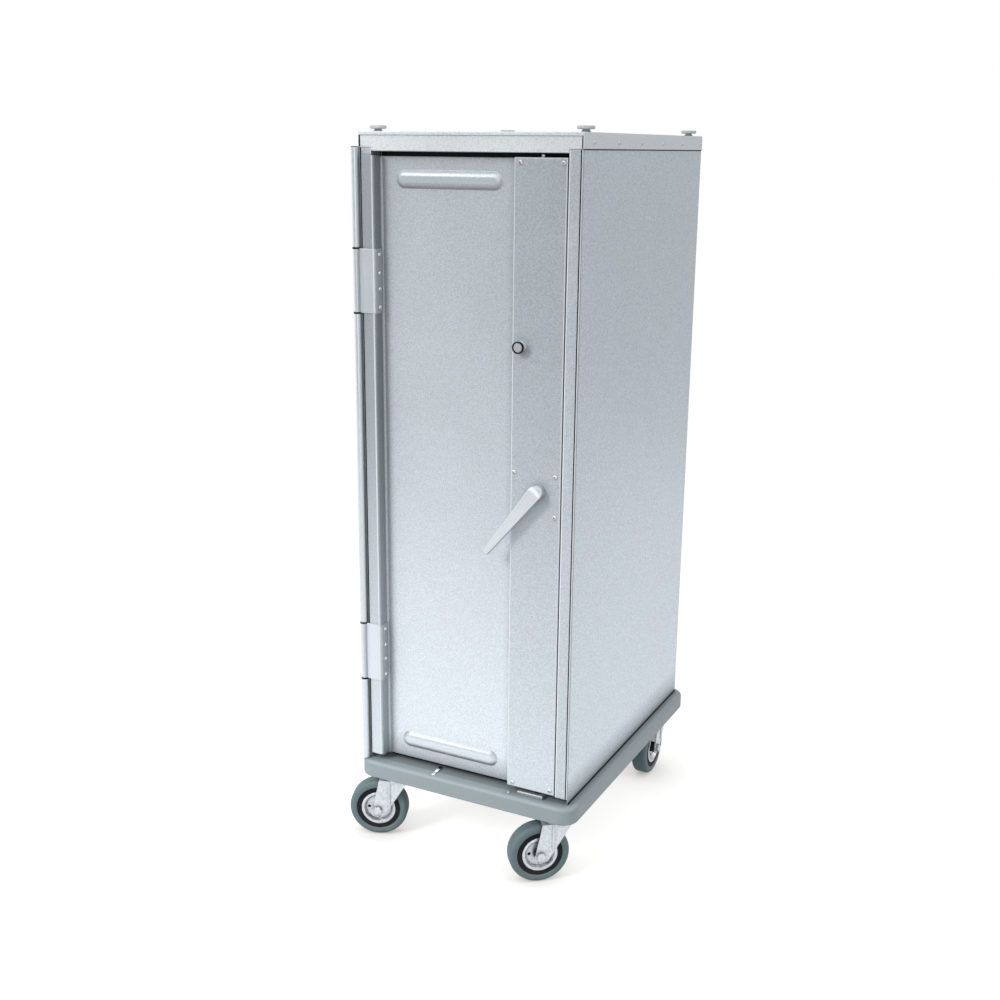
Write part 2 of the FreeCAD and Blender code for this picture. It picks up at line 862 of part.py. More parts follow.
def build_spindle():
    width = size("gear_width").value
    radius = size("spindle_size").value / 2
    square = size("spindle_square").value
    back = (panel_front - gear_rear - size("lay_gap")).value
    ahead = (gear_front - front).value
    neck = ahead + size("lever_standoff").value - size("socket_depth").value + size("lever_thickness").value
    reach = neck + (size("socket_depth") - size("lever_edge") - size("lay_gap")).value
    forward = FreeCAD.Vector(0, 0, 1)
    gear = pinion_face().extrude(FreeCAD.Vector(0, 0, width))
    shaft = Part.makeCylinder(radius, back + width + neck, FreeCAD.Vector(0, 0, -back), forward)
    drive = Part.makeBox(square, square, width + reach, FreeCAD.Vector(-square / 2, -square / 2, 0))
    drive.rotate(FreeCAD.Vector(), forward, -size("lever_angle").value)
    spindle = doc.addObject("Part::Feature", "lock_spindle")
    spindle.Shape = gear.fuse([shaft, drive]).removeSplitter()
    seat = FreeCAD.Vector(lock_x.value, gear_rear.value, lock_z.value)
    lay_down = FreeCAD.Rotation(FreeCAD.Vector(1, 0, 0), full_turn / 4)
    spindle.Placement = FreeCAD.Placement(seat, lay_down)
    nodes.append(spindle)


def build_rods():
    lean = math.tan(math.radians(size("pressure_angle").value))
    half_pitch = tooth_pitch / 4 - size("tooth_backlash") / 2
    root_half = half_pitch + rack_dedendum * lean
    tip_half = half_pitch - size("rack_addendum") * lean
    spare = size("rack_spare_teeth") * tooth_pitch
    long_side = (size("rack_teeth") - 1 - size("rack_spare_teeth")) * tooth_pitch
    tooth_tip = pitch_radius - size("rack_addendum")
    bridge = size("rod_bridge")
    rods = (
        ("top_rod", -1, top_rod_x, header_bottom - size("top_rod_gap"), 1),
        ("bottom_rod", 1, bottom_rod_x, keeper_top + size("bottom_rod_gap"), -1),
    )
    for label, side, rod_x, tip, way in rods:
        rod = new_body(label)
        near = spare + tooth_pitch / 2
        far = long_side + tooth_pitch / 2
        bar_top = lock_z + (near + bridge) * way
        bar_end = lock_z - far * way
        bar_low, bar_high = (bar_end, bar_top) if way > 0 else (bar_top, bar_end)
        bar_x = in_order(lock_x + rack_root * side, lock_x + rack_outer * side)
        prism(rod, "y", gear_front, gear_rear, rectangle(*bar_x, bar_low, bar_high))
        foot = lock_z + near * way
        bridge_z = (foot, bar_top) if way > 0 else (bar_top, foot)
        bridge_x = in_order(lock_x + rack_outer * side, rod_x - rod_radius * side)
        prism(rod, "y", gear_front, gear_rear, rectangle(*bridge_x, *bridge_z))
        prism(rod, "z", foot, tip, circle_at(rod_x, rod_y, rod_radius))
        first = lock_z - long_side if way > 0 else lock_z - spare
        root_x, tip_x = lock_x + rack_root * side, lock_x + tooth_tip * side
        corners = [
            (root_x, first + root_half),
            (root_x, first - root_half),
            (tip_x, first - tip_half),
            (tip_x, first + tip_half),
        ]
        if side > 0:
            corners.reverse()
        tooth = prism(rod, "y", gear_front, gear_rear, outline(*corners))
        rack = patterned(rod, "PartDesign::LinearPattern", tooth, (origin_item(rod, "Z_Axis"), [""]),
                         size("rack_teeth"))
        bind(rack, "Length", tooth_pitch * (size("rack_teeth") - 1))


def build_lock_case():
    case = new_body("lock_case")
    fit = size("sliding_fit")
    inner = rack_outer + fit
    outer = inner + size("case_wall")
    low = lock_z - size("case_height") / 2
    high = lock_z + size("case_height") / 2
    case_front = front + size("door_sheet")
    prism(case, "z", low, high, rectangle(lock_x - outer, lock_x + outer, case_front, panel_front))
    cut_prism(case, "z", low, high,
              rectangle(lock_x - inner, lock_x + inner, gear_front - fit, gear_rear + fit))
    cut_prism(case, "y", case_front, panel_front,
              circle_at(lock_x, lock_z, size("spindle_size") / 2 + size("running_fit")))

    half = size("guide_width") / 2
    guide_front = rod_y - rod_radius - size("guide_wall")
    first_top = cover_head - size("guide_inset")
    first_low = cover_foot + size("guide_inset")
    places = (
        (top_rod_x, first_top),
        (top_rod_x, first_top - size("guide_spacing")),
        (bottom_rod_x, first_low),
        (bottom_rod_x, first_low + size("guide_spacing")),
    )
    guides = new_body("rod_guides")
    for x, middle in places:
        low = middle - size("guide_height") / 2
        high = middle + size("guide_height") / 2
        prism(guides, "z", low, high, rectangle(x - half, x + half, guide_front, panel_front))
        cut_prism(guides, "z", low, high, circle_at(x, rod_y, rod_radius + size("running_fit")))


def build_keepers():
    keeper = new_body("bottom_keeper")
    half_x = size("keeper_width") / 2
    half_y = size("keeper_depth") / 2
    middle = top_rod_x
    top = keeper_top
    block = rectangle(middle - half_x, middle + half_x, rod_y - half_y, rod_y + half_y)
    prism(keeper, "z", base_top, top, block)
    rounded(keeper, flat_at("Z", top), size("keeper_round"))
    cut_prism(keeper, "z", base_top, top, rod_slot(bottom_rod_x))

    upper = new_body("top_keeper")
    low = header_bottom + wall
    high = low + size("top_keeper_sheet")
    near = front + wall + size("free_gap")
    sheet_outline = rectangle(middle - half_x, middle + half_x, near, near + size("top_keeper_depth"))
    prism(upper, "z", low, high, sheet_outline)
    cut_prism(upper, "z", low, high, rod_slot(top_rod_x))


# The lever lies along its own X axis, with the spindle at its origin.
def build_lever():
    lever = new_body("lever_handle")
    back = front - size("lever_standoff")
    face = back - size("lever_thickness")
    hub = size("lever_hub") / 2
    prism(lever, "y", back, face, long_slot(0, hub, size("lever_length"), size("lever_tip") / 2, 0))
    rounded(lever, flat_at("Y", face), size("lever_edge"))
    prism(lever, "y", front - size("lay_gap"), back, circle_at(0, 0, size("lever_neck") / 2))
    socket = size("spindle_square") / 2
    neck = size("spindle_size") / 2 + size("running_fit")
    square_start = back - size("lever_thickness") + size("socket_depth")
    cut_prism(lever, "y", front - size("lay_gap"), square_start, circle_at(0, 0, neck))
    square = rectangle(-socket, socket, -socket, socket)
    cut_prism(lever, "y", square_start, face + size("lever_edge"), square)
    turn_placement(lever, FreeCAD.Vector(0, 1, 0), size("lever_angle"))
    place(lever, lock_x, 0, lock_z)


# Buffer that meets the side wall when the door is folded right back: a turned cup and its pad.
def build_buffer():
    radius = size("buffer_size") / 2
    rim = size("buffer_rim")
    depth = size("buffer_cup")
    pad_top = depth + size("buffer_pad")
    bore = radius - rim
    cup_profile = outline((0, 0), (radius, 0), (radius, depth), (bore, depth), (bore, rim), (0, rim))
    pad_radius = bore - size("mould_gap")
    pad_round = size("buffer_pad") / 2
    pad_profile = outline((0, rim), (pad_radius, rim), (pad_radius, pad_top, pad_round), (0, pad_top))
    for label, profile in (("buffer_cup", cup_profile), ("buffer_pad", pad_profile)):
        body = new_body(label)
        turned(body, "XZ_Plane", profile)
        turn_placement(body, FreeCAD.Vector(1, 0, 0), full_turn / 4)
        place(body, door_right - size("buffer_inset"), front, lock_z + size("buffer_rise"))


# Casters: each is drawn about its own swivel axis with the wheel trailing along +X.

axle_height = size("wheel_size") / 2
trail = size("trail")
fork_half = size("fork_gap") / 2
fork_outer = fork_half + size("fork_sheet")
crown_top = size("fork_crown")
crown_under = crown_top - size("fork_sheet")
plate_under = rail_bottom - size("plate_sheet")
race_split = (crown_top + plate_under) / 2
wheel_shift = (trail, 0, axle_height)
nut_sides = 6


def build_caster_plate(label):
    body = new_body(label)
    half_x = size("plate_width") / 2
    half_y = size("plate_length") / 2
    pin = size("kingpin_size") / 2
    head = size("kingpin_head") / 2
    race = size("race_size") / 2
    head_top = crown_under - size("lay_gap")
    step = size("race_step")
    prism(body, "z", plate_under, rail_bottom, rectangle(-half_x, half_x, -half_y, half_y, step))
    profile = outline(
        (0, head_top - size("kingpin_head_height")),
        (head, head_top - size("kingpin_head_height")),
        (head, head_top),
        (pin, head_top),
        (pin, race_split + size("lay_gap")),
        (race - step, race_split + size("lay_gap")),
        (race, race_split + size("lay_gap") + step),
        (race, plate_under),
        (0, plate_under),
    )
    turned(body, "XZ_Plane", profile)
    return body


def build_fork(label):
    body = new_body(label)
    bore = size("kingpin_size") / 2 + size("running_fit")
    race = size("race_size") / 2
    step = size("race_step")
    lead, tail = -size("fork_lead"), size("fork_tail")
    boss = size("fork_boss")
    round_off = size("fork_boss_round")
    prism(body, "z", crown_under, crown_top, rectangle(lead, tail, -fork_outer, fork_outer))
    leg = outline(
        (lead, crown_top),
        (trail - boss, axle_height - boss, round_off),
        (trail + boss, axle_height - boss, round_off),
        (tail, crown_top),
    )
    ridge_x = size("fork_ridge_place")
    ridge_half = size("fork_ridge") / 2
    ridge = rectangle(ridge_x - ridge_half, ridge_x + ridge_half, size("fork_ridge_foot"), crown_top)
    for side in (-1, 1):
        prism(body, "y", fork_half * side, fork_outer * side, leg)
        prism(body, "y", fork_outer * side, (fork_outer + size("fork_ridge_proud")) * side, ridge)
    profile = outline(
        (bore, crown_under),
        (race, crown_under),
        (race, race_split - step),
        (race - step, race_split),
        (bore, race_split),
    )
    cut_prism(body, "z", crown_under, crown_top, circle_at(0, 0, bore))
    turned(body, "XZ_Plane", profile)
    hole = size("axle_size") / 2 + size("running_fit")
    cut_prism(body, "y", fork_outer, -fork_outer, circle_at(trail, axle_height, hole))
    return body


def build_axle(label):
    body = new_body(label)
    end = fork_outer + size("nut_height")
    prism(body, "y", -end, end, circle_at(trail, axle_height, size("axle_size") / 2))
    reach = size("nut_size") / 2 / math.cos(math.pi / nut_sides)
    turns = [math.tau * i / nut_sides for i in range(nut_sides)]
    hexagon = [(trail + reach * math.cos(turn), axle_height + reach * math.sin(turn)) for turn in turns]
    for side in (-1, 1):
        prism(body, "y", fork_outer * side, end * side, outline(*hexagon))
    return body


def build_tyre(label):
    body = new_body(label)
    outer = size("wheel_size") / 2
    inner = outer - size("tyre_depth")
    half = size("tyre_width") / 2
    shoulder, bead = size("tyre_shoulder"), size("tyre_bead")
    profile = outline(
        (inner, -half, bead),
        (outer, -half, shoulder),
        (outer, half, shoulder),
        (inner, half, bead),
    )
    turned(body, "XY_Plane", profile, wheel_shift)
    return body


def build_core(label):
    body = new_body(label)
    bore = size("axle_size") / 2 + size("running_fit")
    hub = size("hub_size") / 2
    rim_outer = size("wheel_size") / 2 - size("tyre_depth") - size("mould_gap")
    rim_inner = rim_outer - size("rim_depth")
    hub_half, web_half, rim_half = size("hub_width") / 2, size("web_width") / 2, size("rim_width") / 2
    profile = outline(
        (bore, -hub_half),
        (hub, -hub_half),
        (hub, -web_half),
        (rim_inner, -web_half),
        (rim_inner, -rim_half),
        (rim_outer, -rim_half),
        (rim_outer, rim_half),
        (rim_inner, rim_half),
        (rim_inner, web_half),
        (hub, web_half),
        (hub, hub_half),
        (bore, hub_half),
    )
    turned(body, "XY_Plane", profile, wheel_shift)
    return body


# Dished covers, one at each side: the lip lies on the rim's face, the flat is pressed in to the web.
def build_discs(label):
    body = new_body(label)
    thick = size("disc_sheet")
    outer = size("disc_size") / 2
    lip = outer - size("disc_lip")
    flat = size("disc_flat") / 2
    bore = size("hub_size") / 2 + size("free_gap")
    rim_half = size("rim_width") / 2
    web_half = size("web_width") / 2
    corners = [
        (bore, web_half),
        (flat, web_half),
        (lip, rim_half),
        (outer, rim_half),
        (outer, rim_half + thick),
        (lip - thick / 2, rim_half + thick),
        (flat - thick / 2, web_half + thick),
        (bore, web_half + thick),
    ]
    mirrored = [(r, -y) for r, y in reversed(corners)]
    for section in (corners, mirrored):
        turned(body, "XY_Plane", outline(*section), wheel_shift)
    hole = circle_at(trail + size("disc_hole_circle") / 2, axle_height, size("disc_hole") / 2)
    punched = cut_prism(body, "y", -web_half - thick, web_half + thick, hole)
    axis_sketch = new_sketch(body, "XY_Plane", wheel_shift)
    axis = (axis_sketch, ["V_Axis"])
    holes = patterned(body, "PartDesign::PolarPattern", punched, axis, size("disc_holes"))
    holes.Angle = full_turn
    return body


def build_casters():
    across = half_width - size("swivel_inset_across")
    along = rear - size("swivel_inset_along")
    upright_axis = FreeCAD.Vector(0, 0, 1)
    for end, y in (("front", -along), ("rear", along)):
        for side, x in (("left", -across), ("right", across)):
            name = f"{end}_{side}"
            place(build_caster_plate(f"{name}_caster_plate"), x, y)
            heading = size(f"{name}_heading")
            trailing = (
                build_fork(f"{name}_fork"),
                build_axle(f"{name}_axle"),
                build_tyre(f"{name}_tyre"),
                build_core(f"{name}_wheel_core"),
                build_discs(f"{name}_wheel_discs"),
            )
            for body in trailing:
                turn_placement(body, upright_axis, heading)
                place(body, x, y)


build_base()
build_shell()
build_header()
build_cap()
build_studs()
build_inside()
build_skin()
build_stile()
build_cover()
build_hinge()
build_spindle()
build_rods()
build_lock_case()
build_keepers()
build_lever()
build_buffer()
build_casters()
doc.recompute()

for item in doc.Objects:
    if {"Invalid", "Error"} & set(item.State):
        raise RuntimeError(f"{item.Label} failed to build: {item.State}")
for node in nodes:
    if node.Shape.isNull() or not node.Shape.isValid() or not node.Shape.Solids:
        raise RuntimeError(f"{node.Label} has no valid solid")

os.makedirs("parts", exist_ok=True)
for node in nodes:
    node.Shape.exportStep(f"parts/{node.Label}.step")
print(f"{len(nodes)} parts written")
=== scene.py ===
import bmesh
import bpy
import json
import math
from mathutils import Matrix, Vector


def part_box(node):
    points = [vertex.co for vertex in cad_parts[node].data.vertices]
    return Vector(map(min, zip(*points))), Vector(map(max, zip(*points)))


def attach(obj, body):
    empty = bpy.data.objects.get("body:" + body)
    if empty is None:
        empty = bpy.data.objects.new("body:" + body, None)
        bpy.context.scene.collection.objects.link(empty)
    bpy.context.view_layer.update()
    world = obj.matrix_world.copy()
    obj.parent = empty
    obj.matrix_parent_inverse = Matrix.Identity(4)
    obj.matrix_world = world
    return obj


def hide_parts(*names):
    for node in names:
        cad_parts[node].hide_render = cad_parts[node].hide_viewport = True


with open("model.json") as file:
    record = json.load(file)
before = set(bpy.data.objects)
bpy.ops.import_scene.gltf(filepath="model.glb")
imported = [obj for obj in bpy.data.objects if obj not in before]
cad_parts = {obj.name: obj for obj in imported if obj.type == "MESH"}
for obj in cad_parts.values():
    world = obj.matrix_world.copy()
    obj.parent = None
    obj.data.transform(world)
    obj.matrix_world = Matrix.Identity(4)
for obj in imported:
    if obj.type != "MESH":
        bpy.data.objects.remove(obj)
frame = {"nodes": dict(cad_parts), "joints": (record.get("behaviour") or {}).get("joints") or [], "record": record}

scene = bpy.context.scene
nodes = frame["nodes"]
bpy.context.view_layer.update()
mm = 0.001
print("frame loaded:", len(nodes), "nodes")


# shader helpers

def addNode(tree, kind, **settings):
    node = tree.nodes.new(kind)
    for key, value in settings.items():
        setattr(node, key, value)
    return node


def startGroup(name, inputs, outputs):
    group = bpy.data.node_groups.new(name, "ShaderNodeTree")
    for label, kind, value in inputs:
        socket = group.interface.new_socket(label, in_out="INPUT", socket_type=kind)
        socket.default_value = value
    for label, kind in outputs:
        group.interface.new_socket(label, in_out="OUTPUT", socket_type=kind)
    return group, group.nodes.new("NodeGroupInput"), group.nodes.new("NodeGroupOutput")


def mathNode(tree, operation, first, second=0.0):
    node = addNode(tree, "ShaderNodeMath", operation=operation)
    for socket, value in zip(node.inputs, (first, second)):
        if isinstance(value, (int, float)):
            socket.default_value = value
        else:
            tree.links.new(value, socket)
    return node.outputs[0]


def clampNode(tree, value):
    node = addNode(tree, "ShaderNodeClamp")
    tree.links.new(value, node.inputs["Value"])
    return node.outputs["Result"]


def splitNode(tree, vector):
    node = addNode(tree, "ShaderNodeSeparateXYZ")
    tree.links.new(vector, node.inputs[0])
    return node.outputs


# speckle of the rolled sheet, with slow clouding over it
def makeGrainGroup():
    group, given, made = startGroup("metalGrain", [
        ("Tint", "NodeSocketColor", (0.6, 0.6, 0.6, 1)),
        ("Fine Scale", "NodeSocketFloat", 700.0),
        ("Fine Depth", "NodeSocketFloat", 0.1),
        ("Cloud Scale", "NodeSocketFloat", 4.0),
        ("Cloud Depth", "NodeSocketFloat", 0.06),
        ("Gloss", "NodeSocketFloat", 0.4),
        ("Gloss Spread", "NodeSocketFloat", 0.1),
    ], [("Color", "NodeSocketColor"), ("Roughness", "NodeSocketFloat"), ("Height", "NodeSocketFloat")])
    links = group.links
    place = addNode(group, "ShaderNodeTexCoord")
    fine = addNode(group, "ShaderNodeTexNoise")
    fine.inputs["Detail"].default_value = 2.0
    cloud = addNode(group, "ShaderNodeTexNoise")
    cloud.inputs["Detail"].default_value = 3.0
    for noise, scale in ((fine, "Fine Scale"), (cloud, "Cloud Scale")):
        links.new(place.outputs["Object"], noise.inputs["Vector"])
        links.new(given.outputs[scale], noise.inputs["Scale"])
    fineSwing = mathNode(group, "SUBTRACT", fine.outputs["Fac"], 0.5)
    cloudSwing = mathNode(group, "SUBTRACT", cloud.outputs["Fac"], 0.5)
    fineShade = mathNode(group, "MULTIPLY", fineSwing, given.outputs["Fine Depth"])
    cloudShade = mathNode(group, "MULTIPLY", cloudSwing, given.outputs["Cloud Depth"])
    shade = mathNode(group, "ADD", mathNode(group, "ADD", fineShade, cloudShade), 1.0)
    mix = addNode(group, "ShaderNodeMix", data_type="RGBA", blend_type="MULTIPLY")
    mix.inputs["Factor"].default_value = 1.0
    links.new(given.outputs["Tint"], mix.inputs["A"])
    links.new(shade, mix.inputs["B"])
    links.new(mix.outputs["Result"], made.inputs["Color"])
    swing = mathNode(group, "ADD", fineSwing, cloudSwing)
    swing = mathNode(group, "MULTIPLY", swing, given.outputs["Gloss Spread"])
    links.new(mathNode(group, "ADD", swing, given.outputs["Gloss"]), made.inputs["Roughness"])
    links.new(fine.outputs["Fac"], made.inputs["Height"])
    return group


# rounded edges, and the mask of painted highlight along them (a painted dark outline where a finish's edge tint is
# darker than its body)
def makeEdgeGroup():
    group, given, made = startGroup("paintedEdgeLight", [
        ("Reach", "NodeSocketFloat", 0.0012),
        ("Strength", "NodeSocketFloat", 3.0),
    ], [("Mask", "NodeSocketFloat"), ("Normal", "NodeSocketVector")])
    links = group.links
    bevel = addNode(group, "ShaderNodeBevel", samples=4)
    links.new(given.outputs["Reach"], bevel.inputs["Radius"])
    geometry = addNode(group, "ShaderNodeNewGeometry")
    dot = addNode(group, "ShaderNodeVectorMath", operation="DOT_PRODUCT")
    links.new(bevel.outputs["Normal"], dot.inputs[0])
    links.new(geometry.outputs["Normal"], dot.inputs[1])
    turn = mathNode(group, "SUBTRACT", 1.0, dot.outputs["Value"])
    paintedEdge = mathNode(group, "MULTIPLY", turn, given.outputs["Strength"])
    links.new(clampNode(group, paintedEdge), made.inputs["Mask"])
    links.new(bevel.outputs["Normal"], made.inputs["Normal"])
    return group


# shade that gathers in joints and inner corners, on faces that lean down and on faces turned right
def makeJointGroup():
    group, given, made = startGroup("jointShade", [
        ("Reach", "NodeSocketFloat", 0.02),
        ("Amount", "NodeSocketFloat", 0.6),
        ("Under", "NodeSocketFloat", 0.0),
        ("Side", "NodeSocketFloat", 0.0),
    ], [("Mask", "NodeSocketFloat")])
    links = group.links
    near = addNode(group, "ShaderNodeAmbientOcclusion", samples=8)
    links.new(given.outputs["Reach"], near.inputs["Distance"])
    closed = mathNode(group, "SUBTRACT", 1.0, near.outputs["AO"])
    closed = mathNode(group, "MULTIPLY", closed, given.outputs["Amount"])
    spot = addNode(group, "ShaderNodeTexCoord")
    facing = splitNode(group, spot.outputs["Normal"])
    down = mathNode(group, "MULTIPLY", facing["Z"], -1.0)
    down = mathNode(group, "MULTIPLY", down, given.outputs["Under"])
    aside = mathNode(group, "MULTIPLY", facing["X"], given.outputs["Side"])
    darkest = mathNode(group, "MAXIMUM", mathNode(group, "MAXIMUM", closed, down), aside)
    links.new(clampNode(group, darkest), made.inputs["Mask"])
    return group


# painted light and shade by height, running from the foot of the piece to its upper part, on every face or only on
# those that lean up
def makeToneGroup():
    fullLean = 1.6  # a face counts in full where its normal's Z passes 1 / 1.6
    group, given, made = startGroup("paintedHeightLight", [
        ("Color", "NodeSocketColor", (0.6, 0.6, 0.6, 1)),
        ("Low Level", "NodeSocketFloat", 0.25),
        ("High Level", "NodeSocketFloat", 1.05),
        ("Low Tone", "NodeSocketFloat", 1.0),
        ("High Tone", "NodeSocketFloat", 1.0),
        ("Lean", "NodeSocketFloat", 0.0),
    ], [("Color", "NodeSocketColor")])
    links = group.links
    spot = addNode(group, "ShaderNodeTexCoord")
    facing = splitNode(group, spot.outputs["Normal"])
    upward = clampNode(group, mathNode(group, "MULTIPLY", facing["Z"], fullLean))
    flat = mathNode(group, "SUBTRACT", 1.0, upward)
    share = mathNode(group, "SUBTRACT", 1.0, mathNode(group, "MULTIPLY", flat, given.outputs["Lean"]))
    ramp = addNode(group, "ShaderNodeMapRange", clamp=True)
    links.new(splitNode(group, spot.outputs["Object"])["Z"], ramp.inputs["Value"])
    for label, socket in (("Low Level", "From Min"), ("High Level", "From Max"), ("Low Tone", "To Min"),
                          ("High Tone", "To Max")):
        links.new(given.outputs[label], ramp.inputs[socket])
    mix = addNode(group, "ShaderNodeMix", data_type="RGBA", blend_type="MULTIPLY")
    links.new(share, mix.inputs["Factor"])
    links.new(given.outputs["Color"], mix.inputs["A"])
    links.new(ramp.outputs["Result"], mix.inputs["B"])
    links.new(mix.outputs["Result"], made.inputs["Color"])
    return group


# painted highlight line along a fold's front edge, upright at one place across the piece
def makeFoldGroup():
    edgeSlope = 1500.0  # how fast the line's edge fades, per metre
    frontSlope, frontStart = -3.0, 0.6  # only faces that look to the front take the line
    group, given, made = startGroup("paintedFoldHighlight", [
        ("Place", "NodeSocketFloat", 0.0),
        ("Half Width", "NodeSocketFloat", 0.001),
    ], [("Mask", "NodeSocketFloat")])
    links = group.links
    spot = addNode(group, "ShaderNodeTexCoord")
    across = splitNode(group, spot.outputs["Object"])["X"]
    away = mathNode(group, "ABSOLUTE", mathNode(group, "SUBTRACT", across, given.outputs["Place"]))
    spare = mathNode(group, "SUBTRACT", given.outputs["Half Width"], away)
    inside = clampNode(group, mathNode(group, "ADD", mathNode(group, "MULTIPLY", spare, edgeSlope), 0.5))
    facing = splitNode(group, spot.outputs["Normal"])["Y"]
    front = mathNode(group, "SUBTRACT", mathNode(group, "MULTIPLY", facing, frontSlope), frontStart)
    links.new(mathNode(group, "MULTIPLY", inside, clampNode(group, front)), made.inputs["Mask"])
    return group


# dust that thins out above the floor, in soft patches
def makeDustGroup():
    group, given, made = startGroup("floorDust", [
        ("Fade Height", "NodeSocketFloat", 0.12),
        ("Amount", "NodeSocketFloat", 0.3),
        ("Patch Scale", "NodeSocketFloat", 60.0),
    ], [("Mask", "NodeSocketFloat")])
    links = group.links
    place = addNode(group, "ShaderNodeTexCoord")
    fade = addNode(group, "ShaderNodeMapRange", clamp=True)
    fade.inputs["To Min"].default_value = 1.0
    fade.inputs["To Max"].default_value = 0.0
    links.new(splitNode(group, place.outputs["Object"])["Z"], fade.inputs["Value"])
    links.new(given.outputs["Fade Height"], fade.inputs["From Max"])
    noise = addNode(group, "ShaderNodeTexNoise")
    noise.inputs["Detail"].default_value = 4.0
    links.new(place.outputs["Object"], noise.inputs["Vector"])
    links.new(given.outputs["Patch Scale"], noise.inputs["Scale"])
    patchy = mathNode(group, "MULTIPLY", fade.outputs["Result"], noise.outputs["Fac"])
    links.new(mathNode(group, "MULTIPLY", patchy, given.outputs["Amount"]), made.inputs["Mask"])
    return group


grainGroup = makeGrainGroup()
edgeGroup = makeEdgeGroup()
jointGroup = makeJointGroup()
foldGroup = makeFoldGroup()
toneGroup = makeToneGroup()
dustGroup = makeDustGroup()


def useGroup(tree, group, **values):
    node = addNode(tree, "ShaderNodeGroup", node_tree=group)
    for label, value in values.items():
        node.inputs[label.replace("_", " ")].default_value = value
    return node


# the colour below is a fixed colour or comes from another node
def mixColor(tree, mask, below, above):
    mix = addNode(tree, "ShaderNodeMix", data_type="RGBA")
    tree.links.new(mask, mix.inputs["Factor"])
    if isinstance(below, tuple):
        mix.inputs["A"].default_value = below
    else:
        tree.links.new(below, mix.inputs["A"])
    mix.inputs["B"].default_value = above
    return mix.outputs["Result"]


finishShared = dict(shadeTint=(0.03, 0.037, 0.04), dustTint=(0.52, 0.5, 0.46), bumpDistance=0.0002)


# one finish: grain and clouding, painted light and shade by height, painted highlights along edges and folds, shaded
# joints, and floor dust where the piece runs near the floor
def makeFinish(name, look):
    material = bpy.data.materials.new(name)
    material.use_nodes = True
    tree = material.node_tree
    tree.nodes.clear()
    links = tree.links
    out = addNode(tree, "ShaderNodeOutputMaterial")
    shader = addNode(tree, "ShaderNodeBsdfPrincipled")
    links.new(shader.outputs["BSDF"], out.inputs["Surface"])
    shader.inputs["Specular IOR Level"].default_value = look.get("specular", 0.5)
    grain = useGroup(
        tree, grainGroup, Tint=(*look["tint"], 1), Fine_Scale=look["fineScale"], Fine_Depth=look["fineDepth"],
        Cloud_Scale=look["cloudScale"], Cloud_Depth=look["cloudDepth"], Gloss=look["gloss"],
        Gloss_Spread=look["glossSpread"])
    color = grain.outputs["Color"]
    toneRuns = [(run, 0.0) for run in look.get("tones", ())] + [(run, 1.0) for run in look.get("leans", ())]
    for (lowLevel, highLevel, lowTone, highTone), lean in toneRuns:
        tone = useGroup(tree, toneGroup, Low_Level=lowLevel, High_Level=highLevel, Low_Tone=lowTone,
                        High_Tone=highTone, Lean=lean)
        links.new(color, tone.inputs["Color"])
        color = tone.outputs["Color"]
    edges = useGroup(tree, edgeGroup, Reach=look["edgeReach"], Strength=look["edgeStrength"])
    paintedEdge = edges.outputs["Mask"]
    for spot, half in look.get("folds", ()):
        fold = useGroup(tree, foldGroup, Place=spot * mm, Half_Width=half * mm)
        paintedEdge = mathNode(tree, "MAXIMUM", paintedEdge, fold.outputs["Mask"])
    # painted highlight along edges and fold lines: the colour is mixed towards the edge tint
    color = mixColor(tree, paintedEdge, color, (*look["edgeTint"], 1))
    shader.inputs["Metallic"].default_value = look["metallic"]
    # painted edges are made less metallic, so that the lamps brighten the painted highlight
    if look.get("edgeMatt"):
        body = mathNode(tree, "SUBTRACT", 1.0, mathNode(tree, "MULTIPLY", paintedEdge, look["edgeMatt"]))
        links.new(mathNode(tree, "MULTIPLY", body, look["metallic"]), shader.inputs["Metallic"])
    joints = useGroup(tree, jointGroup, Reach=look.get("jointReach", 0.012), Amount=look.get("jointShade", 0.5),
                      Under=look.get("underShade", 0.0), Side=look.get("sideShade", 0.0))
    color = mixColor(tree, joints.outputs["Mask"], color, (*finishShared["shadeTint"], 1))
    if look.get("dust"):
        dust = useGroup(tree, dustGroup, Amount=look["dust"], Fade_Height=look["dustHeight"])
        color = mixColor(tree, dust.outputs["Mask"], color, (*finishShared["dustTint"], 1))
    links.new(color, shader.inputs["Base Color"])
    links.new(grain.outputs["Roughness"], shader.inputs["Roughness"])
    bump = addNode(tree, "ShaderNodeBump")
    bump.inputs["Strength"].default_value = look["bump"]
    bump.inputs["Distance"].default_value = finishShared["bumpDistance"]
    links.new(grain.outputs["Height"], bump.inputs["Height"])
    links.new(edges.outputs["Normal"], bump.inputs["Normal"])
    links.new(bump.outputs["Normal"], shader.inputs["Normal"])
    return material
